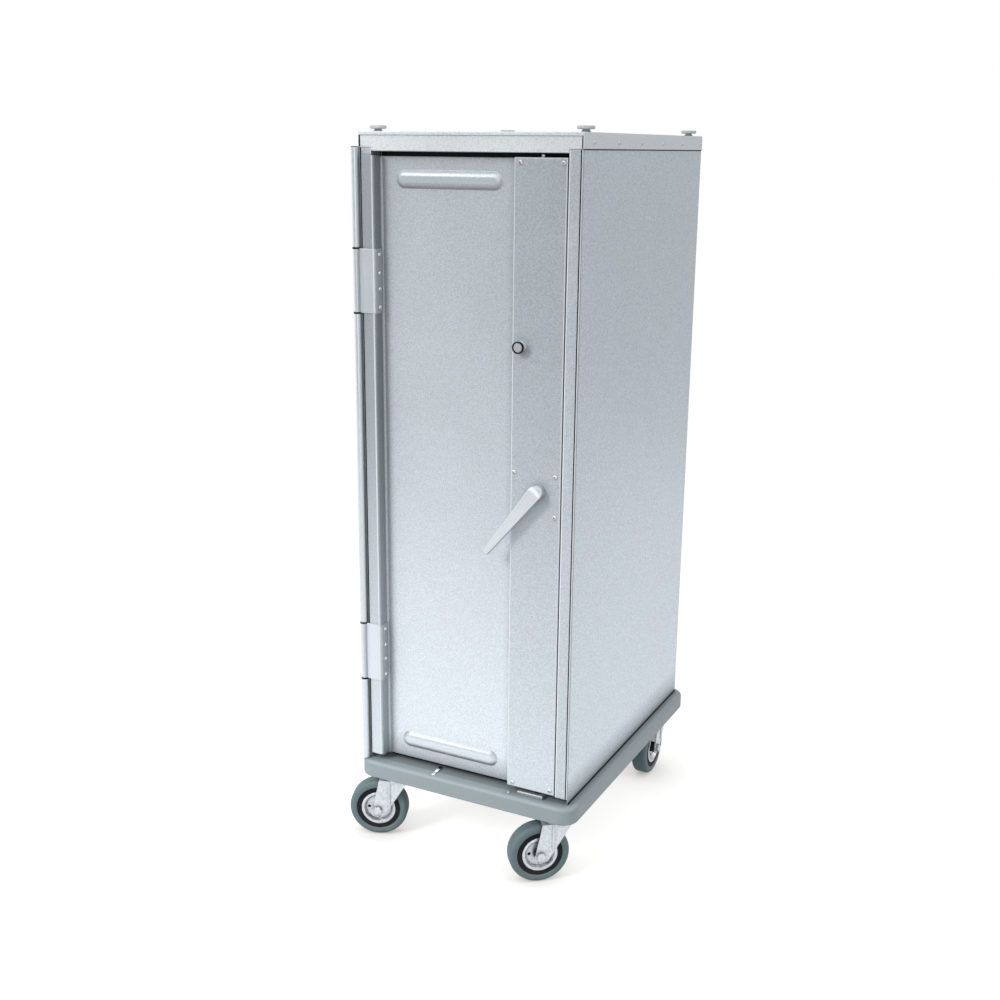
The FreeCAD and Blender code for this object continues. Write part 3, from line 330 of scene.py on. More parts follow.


# tones and leans are painted light and shade by height, leans only on faces that lean up;
# each is (low level, high level, low tone, high tone), levels in metres;
# folds are painted highlight lines at bends: (place across, half width) in millimetres
# the first run is painted light, paler low and darker high on the sheets; the second is painted shade at the foot of
# the door and the walls
sheetPaintedLight = (0.25, 0.95, 1.15, 0.88)
footPaintedShade = (0.186, 0.245, 0.5, 1.0)
finishLooks = {
    "satinSheet": dict(tint=(0.70, 0.755, 0.805), metallic=0.38, gloss=0.44, glossSpread=0.2, fineScale=460,
                       fineDepth=0.8, cloudScale=3.5, cloudDepth=0.06, bump=0.12, edgeReach=0.002,
                       edgeStrength=6.0, edgeTint=(0.9, 0.955, 0.995), edgeMatt=0.8, jointReach=0.02,
                       jointShade=0.6, underShade=0.9, tones=(sheetPaintedLight,)),
    "satinProfile": dict(tint=(0.74, 0.80, 0.84), metallic=0.6, gloss=0.36, glossSpread=0.14, fineScale=420,
                         fineDepth=0.3, cloudScale=6, cloudDepth=0.05, bump=0.06, edgeReach=0.0015,
                         edgeStrength=3.0, edgeTint=(0.94, 0.96, 0.98), jointReach=0.01, jointShade=0.8),
    "castLever": dict(tint=(0.80, 0.85, 0.885), metallic=0.4, gloss=0.36, glossSpread=0.12, fineScale=450,
                      fineDepth=0.4, cloudScale=25, cloudDepth=0.08, bump=0.1, edgeReach=0.0015,
                      edgeStrength=3.0, edgeTint=(0.95, 0.96, 0.97), edgeMatt=0.7, jointReach=0.012,
                      jointShade=0.7, underShade=0.9),
    "bumperGrey": dict(tint=(0.33, 0.388, 0.408), metallic=0.0, gloss=0.5, glossSpread=0.1, fineScale=500,
                       fineDepth=0.08, cloudScale=7, cloudDepth=0.1, bump=0.15, edgeReach=0.0015,
                       edgeStrength=1.0, edgeTint=(0.42, 0.48, 0.5)),
    "deckGrey": dict(tint=(0.24, 0.285, 0.295), metallic=0.0, gloss=0.5, glossSpread=0.12, fineScale=600,
                     fineDepth=0.1, cloudScale=9, cloudDepth=0.14, bump=0.2, edgeReach=0.001,
                     edgeStrength=1.0, edgeTint=(0.34, 0.38, 0.39)),
    "brightSteel": dict(tint=(0.72, 0.74, 0.75), metallic=1.0, gloss=0.22, glossSpread=0.1, fineScale=600,
                        fineDepth=0.08, cloudScale=20, cloudDepth=0.06, bump=0.05, edgeReach=0.0006,
                        edgeStrength=2.0, edgeTint=(0.88, 0.89, 0.9)),
    "zincPlate": dict(tint=(0.66, 0.70, 0.74), metallic=0.75, gloss=0.34, glossSpread=0.3, fineScale=190,
                      fineDepth=0.75, cloudScale=45, cloudDepth=0.35, bump=0.16, edgeReach=0.0014,
                      edgeStrength=3.0, edgeTint=(0.95, 0.96, 0.97), edgeMatt=0.6, jointReach=0.01,
                      jointShade=0.9, dust=0.12, dustHeight=0.14),
    "paleRivet": dict(tint=(0.93, 0.945, 0.955), metallic=0.45, gloss=0.26, glossSpread=0.08, fineScale=600,
                      fineDepth=0.08, cloudScale=20, cloudDepth=0.06, bump=0.03, edgeReach=0.0005,
                      edgeStrength=1.0, edgeTint=(0.9, 0.91, 0.92), jointReach=0.0035, jointShade=1.0,
                      underShade=0.9),
    "tyreGrey": dict(tint=(0.135, 0.195, 0.21), metallic=0.0, gloss=0.6, glossSpread=0.15, fineScale=420,
                     fineDepth=0.16, cloudScale=30, cloudDepth=0.16, bump=0.25, edgeReach=0.0012,
                     edgeStrength=1.0, edgeTint=(0.2, 0.26, 0.27), dust=0.2, dustHeight=0.05),
    "coreBlack": dict(tint=(0.008, 0.01, 0.012), metallic=0.0, specular=0.15, gloss=0.6, glossSpread=0.15,
                      fineScale=500, fineDepth=0.2, cloudScale=30, cloudDepth=0.2, bump=0.15, edgeReach=0.001,
                      edgeStrength=1.0, edgeTint=(0.05, 0.055, 0.06), dust=0.06, dustHeight=0.1),
    "sealRubber": dict(tint=(0.01, 0.012, 0.013), metallic=0.0, specular=0.15, gloss=0.7, glossSpread=0.1,
                       fineScale=500, fineDepth=0.2, cloudScale=20, cloudDepth=0.2, bump=0.15, edgeReach=0.001,
                       edgeStrength=1.0, edgeTint=(0.05, 0.05, 0.05)),
    "padRubber": dict(tint=(0.48, 0.52, 0.54), metallic=0.0, gloss=0.55, glossSpread=0.1, fineScale=700,
                      fineDepth=0.12, cloudScale=60, cloudDepth=0.1, bump=0.15, edgeReach=0.0008,
                      edgeStrength=1.0, edgeTint=(0.1, 0.115, 0.12)),
    "studGrey": dict(tint=(0.72, 0.755, 0.77), metallic=0.0, gloss=0.5, glossSpread=0.1, fineScale=600,
                     fineDepth=0.1, cloudScale=30, cloudDepth=0.1, bump=0.12, edgeReach=0.001,
                     edgeStrength=1.0, edgeTint=(0.45, 0.47, 0.48)),
}
# variants: a finish above, and what is changed in it; the sheet variants are one aluminium, tinted paler (header,
# cap, walls) or darker (cover, posts, stile) as painted light and shade
finishVariants = {
    "headerSheet": ("satinSheet", dict(tint=(0.91, 0.96, 0.995), tones=(), fineDepth=0.55, jointShade=0.4)),
    "capSheet": ("satinSheet", dict(tint=(0.89, 0.95, 1.0), tones=(), jointShade=0.4)),
    "coverSheet": ("satinSheet", dict(tint=(0.61, 0.665, 0.715), folds=((97.3, 1.1), (199.0, 1.1)))),
    "postSheet": ("satinSheet", dict(tint=(0.64, 0.695, 0.745), tones=((0.25, 0.95, 0.98, 0.98),),
                                     folds=((203.6, 1.1), (227.5, 1.1), (-203.6, 1.1), (-227.5, 1.1)))),
    "stileSheet": ("satinSheet", dict(tint=(0.56, 0.61, 0.655), folds=((-198.2, 1.1),), edgeStrength=2.0,
                                      sideShade=0.42, tones=((0.25, 0.95, 1.25, 0.74),))),
    "leafSheet": ("satinProfile", dict(folds=((-197.0, 1.1),), edgeMatt=0.8, sideShade=0.42)),
    "wallSheet": ("satinSheet", dict(tint=(0.745, 0.825, 0.89), fineScale=290, fineDepth=0.85, bump=0.05,
                                     tones=((0.25, 0.95, 1.06, 1.02), footPaintedShade))),
    "doorSheet": ("satinSheet", dict(tones=(sheetPaintedLight, footPaintedShade), leans=((0.35, 1.1, 0.5, 1.5),),
                                     jointReach=0.025, jointShade=0.7)),
    "keeperPlate": ("zincPlate", dict(tint=(0.46, 0.50, 0.52), metallic=0.3, edgeStrength=1.0,
                                      edgeTint=(0.7, 0.73, 0.75))),
}
for name, (base, changes) in finishVariants.items():
    finishLooks[name] = dict(finishLooks[base], **changes)
finish = {name: makeFinish(name, look) for name, look in finishLooks.items()}

slotFinish = {
    "aluminium_sheet": "satinSheet", "aluminium_profile": "satinProfile", "cast_aluminium": "castLever",
    "bumper_grey": "bumperGrey", "deck_grey": "deckGrey", "bright_steel": "brightSteel", "zinc": "zincPlate",
    "tyre_grey": "tyreGrey", "core_black": "coreBlack", "seal_rubber": "sealRubber",
    "buffer_rubber": "padRubber",
}
# nodes whose finish isn't their slot's own
ownFinish = {
    "roof_studs": "studGrey", "buffer_cup": "paleRivet", "header": "headerSheet", "roof_cap": "capSheet",
    "hinge_stile": "stileSheet", "lower_door_leaf": "leafSheet", "upper_door_leaf": "leafSheet",
    "bottom_keeper": "keeperPlate", "lock_cover": "coverSheet", "left_post": "postSheet",
    "right_post": "postSheet", "left_wall": "wallSheet", "right_wall": "wallSheet", "rear_wall": "wallSheet",
    "door_skin": "doorSheet",
}
for part in frame["record"]["subparts"]:
    name = part["node"]
    item = nodes[name]
    chosen = ownFinish.get(name, slotFinish[part["material_slot"]])
    if not item.material_slots:
        item.data.materials.append(None)
    for slot in item.material_slots:
        slot.link = "OBJECT"
        slot.material = finish[chosen]
print("finishes:", len(finish))


# places in millimetres, from the frame

def boxOf(name):
    return [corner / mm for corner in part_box(name)]


def jointPlace(name):
    joint = next(joint for joint in frame["joints"] if joint["name"] == name)
    return [value / mm for value in joint["pos_m"]]


# mesh helpers

# a line given in shares, at its full width and height
def scaledLine(line, width, height):
    return [(width * out, height * up) for out, up in line]


# a section of (radius, height) pairs turned about Z
def turnedForm(section, count):
    points, faces, rings = [], [], []
    for radius, height in section:
        if not radius:
            rings.append([len(points)])
            points.append(Vector((0, 0, height)))
            continue
        rings.append(list(range(len(points), len(points) + count)))
        for i in range(count):
            turn = math.tau * i / count
            points.append(Vector((radius * math.cos(turn), radius * math.sin(turn), height)))
    for low, high in zip(rings, rings[1:]):
        for i in range(count):
            j = (i + 1) % count
            if len(low) == 1:
                faces.append((low[0], high[j], high[i]))
            elif len(high) == 1:
                faces.append((low[i], low[j], high[0]))
            else:
                faces.append((low[i], low[j], high[j], high[i]))
    return points, faces


# a section of (first, second) points drawn along X, Y or Z from one place to another, closed at both ends
def drawnForm(section, axis, start, end):
    points, faces, count = [], [], len(section)
    for station in (start, end):
        for first, second in section:
            points.append(Vector({"x": (station, first, second), "y": (first, station, second),
                                  "z": (first, second, station)}[axis]))
    for i in range(count):
        j = (i + 1) % count
        faces.append((i, j, count + j, count + i))
    faces.append(tuple(range(count)))
    faces.append(tuple(range(count, 2 * count)))
    return points, faces


def rectangle(left, right, low, high):
    return [(left, low), (right, low), (right, high), (left, high)]


def joinForms(first, second):
    return first[0] + second[0], first[1] + [tuple(i + len(first[0]) for i in face) for face in second[1]]


def arcPoints(middle, radius, first, last, steps):
    turns = [math.radians(first + (last - first) * i / steps) for i in range(steps + 1)]
    return [(middle[0] + radius * math.cos(turn), middle[1] + radius * math.sin(turn)) for turn in turns]


meshSet = dict(mergeDistance=1e-6, sharpAngle=38)
asBuilt = [Matrix.Identity(4)]


# copies of one form, each at its own place, as one piece on a body
def addPiece(name, form, places, look, body, scale=mm, smooth=True):
    points, faces = form
    mesh = bpy.data.meshes.new(name)
    allPoints, allFaces = [], []
    for place in places:
        start = len(allPoints)
        allPoints += [place @ (point * scale) for point in points]
        allFaces += [tuple(start + i for i in face) for face in faces]
    mesh.from_pydata(allPoints, [], allFaces)
    mesh.validate()
    work = bmesh.new()
    work.from_mesh(mesh)
    bmesh.ops.remove_doubles(work, verts=work.verts, dist=meshSet["mergeDistance"])
    bmesh.ops.recalc_face_normals(work, faces=work.faces)
    work.to_mesh(mesh)
    work.free()
    for face in mesh.polygons:
        face.use_smooth = smooth
    if smooth:
        mesh.set_sharp_from_angle(angle=math.radians(meshSet["sharpAngle"]))
    mesh.materials.append(finish[look])
    piece = bpy.data.objects.new(name, mesh)
    scene.collection.objects.link(piece)
    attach(piece, body)
    return piece


# where a form stands, in millimetres: its own Z axis along `facing`, turned about it by `turn` degrees
def standing(x, y, z, facing=(0, 0, 1), turn=0):
    lay = Vector(facing).to_track_quat("Z", "Y").to_matrix().to_4x4()
    return Matrix.Translation(Vector((x, y, z)) * mm) @ lay @ Matrix.Rotation(math.radians(turn), 4, "Z")


# dome with a pressed-in cross, for the cover screws
def crossHead(radius, rise, crossLength, crossWidth, crossDepth, fullness=2.6, rings=10, count=48):
    points, faces = [Vector((0, 0, rise - crossDepth))], []
    for ring in range(1, rings + 1):
        reach = radius * ring / rings
        for i in range(count):
            turn = math.tau * i / count
            x, y = reach * math.cos(turn), reach * math.sin(turn)
            height = rise * math.sqrt(max(0.0, 1 - (reach / radius) ** fullness))
            along, aside = max(abs(x), abs(y)), min(abs(x), abs(y))
            if along < crossLength / 2 and aside < crossWidth / 2:
                height -= crossDepth
            points.append(Vector((x, y, height)))
    for i in range(count):
        faces.append((0, 1 + i, 1 + (i + 1) % count))
    for ring in range(rings - 1):
        low, high = 1 + ring * count, 1 + (ring + 1) * count
        for i in range(count):
            j = (i + 1) % count
            faces.append((low + i, high + i, high + j, low + j))
    faces.append(tuple(1 + (rings - 1) * count + i for i in range(count)))
    return points, faces


# fasteners on the cabinet and the door

# pulled rivets: a dome with a small hollow where the pin broke off
rivetSet = dict(radius=3.4, rise=2.2, pin=1.0, sunk=-0.2, hollow=((0, 0.72), (0.8, 0.7), (1, 1)),
                dome=((0.62, 0.9), (0.9, 0.5), (1, 0)), capLevel=1447.4,
                capStations=(-274, -158, -42, 73.6, 186.4, 301.5), rearStations=(-200, -100, 0, 100, 200))
rivetLine = scaledLine(rivetSet["hollow"], rivetSet["pin"], rivetSet["rise"])
rivetLine += scaledLine(rivetSet["dome"], rivetSet["radius"], rivetSet["rise"])
rivetForm = turnedForm([*rivetLine, (0, rivetSet["sunk"])], count=24)
capLow, capHigh = boxOf("roof_cap")
for side, word in ((1, "right"), (-1, "left")):
    stations = [standing(side * capHigh.x, y, rivetSet["capLevel"], (side, 0, 0)) for y in rivetSet["capStations"]]
    addPiece(f"cap_rivets_{word}", rivetForm, stations, "paleRivet", "cabinet")
addPiece("cap_rivets_rear", rivetForm,
         [standing(x, capHigh.y, rivetSet["capLevel"], (0, 1, 0)) for x in rivetSet["rearStations"]],
         "paleRivet", "cabinet")

# screws of the lock cover and the lock: across, up and turn of the cross
screwSet = dict(radius=4.6, rise=2.7, crossLength=4.6, crossWidth=1.2, crossDepth=1.0,
                ends=((108.7, 1412.7, 20), (192.3, 1412.3, 65), (108.1, 207.5, 40), (190.3, 208.8, 10)),
                lock=((103.6, 849.8, 30), (188.3, 849.8, 75), (188.5, 771.5, 15), (103.6, 771.5, 50)))
screwForm = crossHead(*(screwSet[key] for key in ("radius", "rise", "crossLength", "crossWidth", "crossDepth")))
coverLow, coverHigh = boxOf("lock_cover")
for key, name in (("ends", "cover_screws"), ("lock", "lock_screws")):
    addPiece(name, screwForm, [standing(x, coverLow.y, z, (0, -1, 0), turn) for x, z, turn in screwSet[key]],
             "paleRivet", "door")

# rivets of the two door leaves
leafSet = dict(offsets=(-50, -15, 15, 50), size=1.25, setback=20)
for word in ("lower", "upper"):
    low, high = boxOf(f"{word}_door_leaf")
    middle = (low.z + high.z) / 2
    addPiece(f"{word}_leaf_rivets", rivetForm,
             [standing(high.x, low.y + leafSet["setback"], middle + offset, (1, 0, 0))
              for offset in leafSet["offsets"]],
             "paleRivet", "door", scale=mm * leafSet["size"])

# fixed leaves are riveted to the left wall
fixedSet = dict(endInset=18, edgeInset=6, spacing=105, sheet=2)
for word in ("lower", "middle", "upper"):
    low, high = boxOf(f"{word}_fixed_leaf")
    face = boxOf("left_wall")[0].x - fixedSet["sheet"]
    span = high.z - low.z - 2 * fixedSet["endInset"]
    count = max(2, round(span / fixedSet["spacing"]) + 1)
    heights = [low.z + fixedSet["endInset"] + span * i / (count - 1) for i in range(count)]
    addPiece(f"{word}_fixed_rivets", rivetForm,
             [standing(face, high.y - fixedSet["edgeInset"], z, (-1, 0, 0)) for z in heights],
             "paleRivet", "cabinet")
print("fasteners done")


# seals, hinge washers and base trim

# soft black bulb over the header's stop lip; its black stands in for the shade in the gap above the door
bulbSet = dict(radius=2.6, lift=0.6, inset=0.2, lipSheet=1.6, bendSteps=6)
low, high = boxOf("top_seal")
lipTop = boxOf("top_keeper")[0].z - bulbSet["lipSheet"]
bulbLow, bulbHigh = high.z + bulbSet["lift"], lipTop - bulbSet["lift"]
bulbMiddle = low.y + bulbSet["radius"] + bulbSet["inset"]
bulb = [(high.y, bulbLow)]
bulb += arcPoints((bulbMiddle, bulbLow + bulbSet["radius"]), bulbSet["radius"], 270, 180, bulbSet["bendSteps"])
bulb += arcPoints((bulbMiddle, bulbHigh - bulbSet["radius"]), bulbSet["radius"], 180, 90, bulbSet["bendSteps"])
bulb += [(high.y, bulbHigh)]
addPiece("top_seal_bulb", drawnForm(bulb, "x", low.x, high.x), asBuilt, "sealRubber", "cabinet")

# black wiper lip under the door's foot; its black also stands in for the shade in the gap under the door
wiperSet = dict(left=-188, right=96, deep=4, drop=3, proud=0.3, lap=0.2)
doorFoot = boxOf("door_skin")[0].z
wiper = rectangle(coverHigh.y - wiperSet["proud"], coverHigh.y + wiperSet["deep"],
                  doorFoot - wiperSet["drop"], doorFoot + wiperSet["lap"])
addPiece("door_foot_lip", drawnForm(wiper, "x", wiperSet["left"], wiperSet["right"]), asBuilt, "sealRubber", "door")

# dark washers between the hinge's knuckles, and a cap on the pin's upper end
washerSet = dict(gap=0.05, wall=0.45, height=3.4)
pinCapSet = dict(rise=1.6, line=((0, 1), (0.7, 1), (0.97, 0.35), (1, 0), (0, 0)))
hingeX, hingeY = jointPlace("door_hinge")[:2]
barrelLow, barrelHigh = boxOf("upper_fixed_leaf")
barrelRadius = hingeX - barrelLow.x
inside = barrelRadius + washerSet["gap"]
outside = inside + washerSet["wall"]
reach = washerSet["height"] / 2
washer = turnedForm([*rectangle(inside, outside, -reach, reach), (inside, -reach)], count=40)
knuckles = [boxOf(name) for name in ("lower_fixed_leaf", "lower_door_leaf", "middle_fixed_leaf", "upper_door_leaf",
                                     "upper_fixed_leaf")]
meetings = [(below[1].z + above[0].z) / 2 for below, above in zip(knuckles, knuckles[1:])]
addPiece("hinge_washers", washer, [standing(hingeX, hingeY, z) for z in meetings], "sealRubber", "cabinet")
pinCap = turnedForm(scaledLine(pinCapSet["line"], barrelRadius, pinCapSet["rise"]), count=40)
addPiece("hinge_pin_cap", pinCap, [standing(hingeX, hingeY, barrelHigh.z)], "sealRubber", "cabinet")

# black strip along each front post's outer edge, standing in for the shade in the gap between the post and its side
# wall
postShadeSet = dict(inset=2.2, width=2.2, proud=0.25, lap=0.1)
for side, word in ((1, "right"), (-1, "left")):
    low, high = boxOf(f"{word}_post")
    last = (high.x if side > 0 else -low.x) - postShadeSet["inset"]
    first = last - postShadeSet["width"]
    strip = rectangle(first * side, last * side, low.y - postShadeSet["proud"], low.y + postShadeSet["lap"])
    addPiece(f"{word}_post_gap_shade", drawnForm(strip, "z", low.z, high.z), asBuilt, "sealRubber", "cabinet")

# black strips standing in for shade: under the cap's flange, along the foot of the walls, and in the gap between cap
# and header
shadeStripSet = dict(proud=0.7, lap=0.2, capDrop=1.8, footRise=4.5, cornerWidth=2.6, cornerProud=0.3, cornerLap=0.1,
               cornerFoot=0.6, cornerHead=6.6)
wallLow, wallHigh = boxOf("right_wall")
wallIn, wallOut = wallHigh.x - shadeStripSet["lap"], wallHigh.x + shadeStripSet["proud"]
headerFront = boxOf("header")[0].y
wallEnds = wallLow.y, boxOf("rear_wall")[1].y
cornerEnds = capLow.z + shadeStripSet["cornerFoot"], capHigh.z - shadeStripSet["cornerHead"]
shadeStrips = {
    "cap_seam": (rectangle(wallIn, wallOut, capLow.z - shadeStripSet["capDrop"], capLow.z), "y", wallEnds),
    "foot_seam": (rectangle(wallIn, wallOut, wallLow.z, wallLow.z + shadeStripSet["footRise"]), "y", wallEnds),
    "corner_seam": (rectangle(wallHigh.x - shadeStripSet["cornerWidth"], wallHigh.x, headerFront - shadeStripSet["cornerProud"],
                              headerFront + shadeStripSet["cornerLap"]), "z", cornerEnds),
}
for side, word in ((1, "right"), (-1, "left")):
    for name, (section, axis, ends) in shadeStrips.items():
        mirrored = [(side * x, other) for x, other in section]
        addPiece(f"{word}_{name}", drawnForm(mirrored, axis, *ends), asBuilt, "sealRubber", "cabinet")

# dark ring round the buffer's pad
ringSet = dict(outer=11.4, inner=9.6, deep=3.0, proud=0.35, chamfer=0.8)
padLow, padHigh = boxOf("buffer_pad")
ringForm = turnedForm([
    (ringSet["inner"], ringSet["proud"]), (ringSet["outer"] - ringSet["chamfer"], ringSet["proud"]),
    (ringSet["outer"], ringSet["proud"] - ringSet["chamfer"]), (ringSet["outer"], -ringSet["deep"]),
    (ringSet["inner"], -ringSet["deep"]), (ringSet["inner"], ringSet["proud"])], count=48)
ringPlace = standing((padLow.x + padHigh.x) / 2, padLow.y, (padLow.z + padHigh.z) / 2, (0, -1, 0))
addPiece("buffer_ring", ringForm, [ringPlace], "sealRubber", "door")

# small bright run-up wedge on the deck, which lifts the closing door, and one deck screw
wedgeSet = dict(x=-70, front=-327, rear=-292, width=7, rise=3.2, flat=9, toe=1, toeRise=0.6)
deckScrewSet = dict(place=(102, -319), size=1.3)
deckTop = boxOf("base_deck")[1].z
wedgeTop = deckTop + wedgeSet["rise"]
wedge = [(wedgeSet["front"], deckTop), (wedgeSet["rear"], deckTop), (wedgeSet["rear"], wedgeTop),
         (wedgeSet["rear"] - wedgeSet["flat"], wedgeTop),
         (wedgeSet["front"] + wedgeSet["toe"], deckTop + wedgeSet["toeRise"])]
wedgeHalf = wedgeSet["width"] / 2
addPiece("door_wedge", drawnForm(wedge, "x", wedgeSet["x"] - wedgeHalf, wedgeSet["x"] + wedgeHalf), asBuilt,
         "brightSteel", "cabinet")
addPiece("deck_screw", rivetForm, [standing(*deckScrewSet["place"], deckTop)], "keeperPlate", "cabinet",
         scale=mm * deckScrewSet["size"])

# rivets down the rear wall's two edges
rearSet = dict(inset=10, first=230, last=1420, count=11)
rearHigh = boxOf("rear_wall")[1]
rearStep = (rearSet["last"] - rearSet["first"]) / (rearSet["count"] - 1)
rearPlaces = [standing(side * (rearHigh.x - rearSet["inset"]), rearHigh.y, rearSet["first"] + rearStep * i, (0, 1, 0))
              for i in range(rearSet["count"]) for side in (1, -1)]
addPiece("rear_wall_rivets", rivetForm, rearPlaces, "paleRivet", "cabinet")

# hexagon bolts with washers under each caster plate
boltSet = dict(across=28, along=35, turn=15, size=6.5, rise=4.2, head=((0, 1), (0.86, 1), (1, 0.8), (1, 0), (0, 0)),
               washer=7.6, washerRise=1.0, washerEdge=0.3, plateSheet=3)
boltHead = scaledLine(boltSet["head"], boltSet["size"], boltSet["rise"])
hexagon = turnedForm([(out, up + boltSet["washerRise"]) for out, up in boltHead], count=6)
boltWasher = turnedForm([
    (0, boltSet["washerRise"]), (boltSet["washer"] - boltSet["washerEdge"], boltSet["washerRise"]),
    (boltSet["washer"], boltSet["washerRise"] - boltSet["washerEdge"]), (boltSet["washer"], 0), (0, 0)], count=28)
boltForm = joinForms(hexagon, boltWasher)
for name in ("front_left", "front_right", "rear_left", "rear_right"):
    pivotX, pivotY = jointPlace(f"{name}_swivel_turn")[:2]
    plateUnder = boxOf(f"{name}_caster_plate")[1].z - boltSet["plateSheet"]
    places = [standing(pivotX + a * boltSet["across"], pivotY + b * boltSet["along"], plateUnder, (0, 0, -1),
                       boltSet["turn"]) for a in (-1, 1) for b in (-1, 1)]
    addPiece(f"{name}_plate_bolts", boltForm, places, "zincPlate", "cabinet", smooth=False)
print("seals, hinge trim and base trim done")


# lever: a flat tapered blade, bent back at the hub, square at the tip, on a round neck
leverSet = dict(hub=14, tip=6.4, length=163, thickness=6.5, round=2.2, roundShare=0.6, roundSteps=5, backEdge=0.6,
                lean=51.9, bendFrom=-1, bendSlope=0.35, bendCurl=0.035, cornerCut=2.0, cornerSlope=0.9,
                cornerShare=0.4, neck=12, neckFoot=1, neckSunk=2, neckGap=0.4,
                hubTurns=(10, 18, 27, 37, 48, 60, 72, 82, 88), bladeStations=(0, 6, 20, 50, 90, 130, 150))
leverFront = boxOf("lever_handle")[0].y


def leverHalf(along):
    if along < 0:
        return math.sqrt(max(0, leverSet["hub"] ** 2 - along ** 2))
    taper = leverSet["hub"] + (leverSet["tip"] - leverSet["hub"]) * along / leverSet["length"]
    spare = leverSet["length"] - along
    return taper - max(0, leverSet["cornerCut"] - spare) * leverSet["cornerSlope"]


def leverSection(along):
    half, deep, cut = leverHalf(along), leverSet["thickness"], leverSet["backEdge"]
    edge = min(leverSet["round"], half * leverSet["roundShare"])
    past = max(0, leverSet["bendFrom"] - along)
    back = past * (leverSet["bendSlope"] + leverSet["bendCurl"] * past)
    side = arcPoints((half - edge, edge), edge, 270, 360, leverSet["roundSteps"])
    section = [(-across, depth) for across, depth in reversed(side)] + side
    section += [(half, deep - cut), (half - cut, deep), (-half + cut, deep), (-half, deep - cut)]
    return [Vector((along, across, depth + back)) for across, depth in section]


def buildLever():
    length, corner = leverSet["length"], leverSet["cornerCut"]
    stations = [-leverSet["hub"] * math.cos(math.radians(turn)) for turn in leverSet["hubTurns"]]
    stations += [*leverSet["bladeStations"], length - corner, length - corner * leverSet["cornerShare"], length]
    sections = [leverSection(along) for along in stations]
    points, faces, count = [point for section in sections for point in section], [], len(sections[0])
    for k in range(len(stations) - 1):
        for i in range(count):
            j = (i + 1) % count
            faces.append((k * count + i, k * count + j, (k + 1) * count + j, (k + 1) * count + i))
    faces.append(tuple(range(count)))
    faces.append(tuple(range((len(stations) - 1) * count, len(stations) * count)))
    neckFront = leverSet["thickness"] - leverSet["neckSunk"]
    neckRear = coverLow.y - leverFront - leverSet["neckGap"]
    neckFoot = leverSet["neckFoot"]
    neck = turnedForm([(0, neckFront), (leverSet["neck"], neckFront), (leverSet["neck"], neckRear - neckFoot),
                       (leverSet["neck"] + neckFoot, neckRear), (0, neckRear)], count=40)
    return joinForms((points, faces), neck)


spindle = jointPlace("handle_turn")
lean = math.radians(leverSet["lean"])
leverAlong = Vector((-math.cos(lean), 0, -math.sin(lean)))
leverDepth = Vector((0, 1, 0))
leverAcross = leverDepth.cross(leverAlong)
leverPlace = Matrix((leverAlong, leverAcross, leverDepth)).transposed().to_4x4()
leverPlace.translation = Vector((spindle[0], leverFront, spindle[2])) * mm
lever = addPiece("door_lever", buildLever(), [leverPlace], "castLever", "handle")
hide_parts("lever_handle")
print("lever done")


# camera at the photograph's place, in millimetres and degrees
cameraSet = dict(place=(1133.77, -2403.76, 1436.03), yaw=26.904, pitch=15.396, roll=0.549, lens=45.97, sensor=36,
                 clip=(0.05, 100))


def addCamera():
    data = bpy.data.cameras.new("photoCamera")
    data.sensor_width = cameraSet["sensor"]
    data.sensor_fit = "HORIZONTAL"
    data.lens = cameraSet["lens"]
    data.clip_start, data.clip_end = cameraSet["clip"]
    camera = bpy.data.objects.new("photoCamera", data)
    scene.collection.objects.link(camera)
    yaw, pitch, roll = (math.radians(cameraSet[key]) for key in ("yaw", "pitch", "roll"))
    back = Vector((math.sin(yaw) * math.cos(pitch), -math.cos(yaw) * math.cos(pitch), math.sin(pitch)))
    right = Vector((math.cos(yaw), math.sin(yaw), 0))
    up = back.cross(right)
    across = right * math.cos(roll) + up * math.sin(roll)
    upward = up * math.cos(roll) - right * math.sin(roll)
    turn = Matrix((across, upward, back)).transposed().to_4x4()
    camera.matrix_world = Matrix.Translation(Vector(cameraSet["place"]) * mm) @ turn
    scene.camera = camera


addCamera()


# floor, room light and lamps

stageSet = dict(floorTint=(0.50, 0.515, 0.535), floorGlow=(0.79, 0.778, 0.76), floorMirrored=0.85,
                floorReach=3.7, floorCentre=(0.1, 0.1), floorSides=96,
                contactReach=0.13, contactShade=1.0, contactTint=(0.3, 0.29, 0.265),
                ambient=0.5, backdrop=(1.0, 1.0, 1.0),
                # room light by height: 0.5 is the horizon, 1 straight up
                roomStops=((0.40, 0.1), (0.5, 0.08), (0.64, 0.16), (0.86, 1.3)),
                # screens round the room by compass turn: 0 and 1 left, 0.25 front, 0.5 right, 0.75 rear
                screenStops=((0.0, 1.2), (0.1, 1.0), (0.155, 0.0), (0.25, 0.0), (0.31, 0.5), (0.5, 0.5),
                             (0.66, 0.55), (0.8, 0.6), (0.92, 1.2)))


# the ray paths, and the mask of rays that show a thing to the camera, straight or in a shiny surface
def seenDirectly(tree):
    path = addNode(tree, "ShaderNodeLightPath")
    shiny = mathNode(tree, "MAXIMUM", path.outputs["Is Glossy Ray"], path.outputs["Is Transmission Ray"])
    return path, mathNode(tree, "MAXIMUM", path.outputs["Is Camera Ray"], shiny)


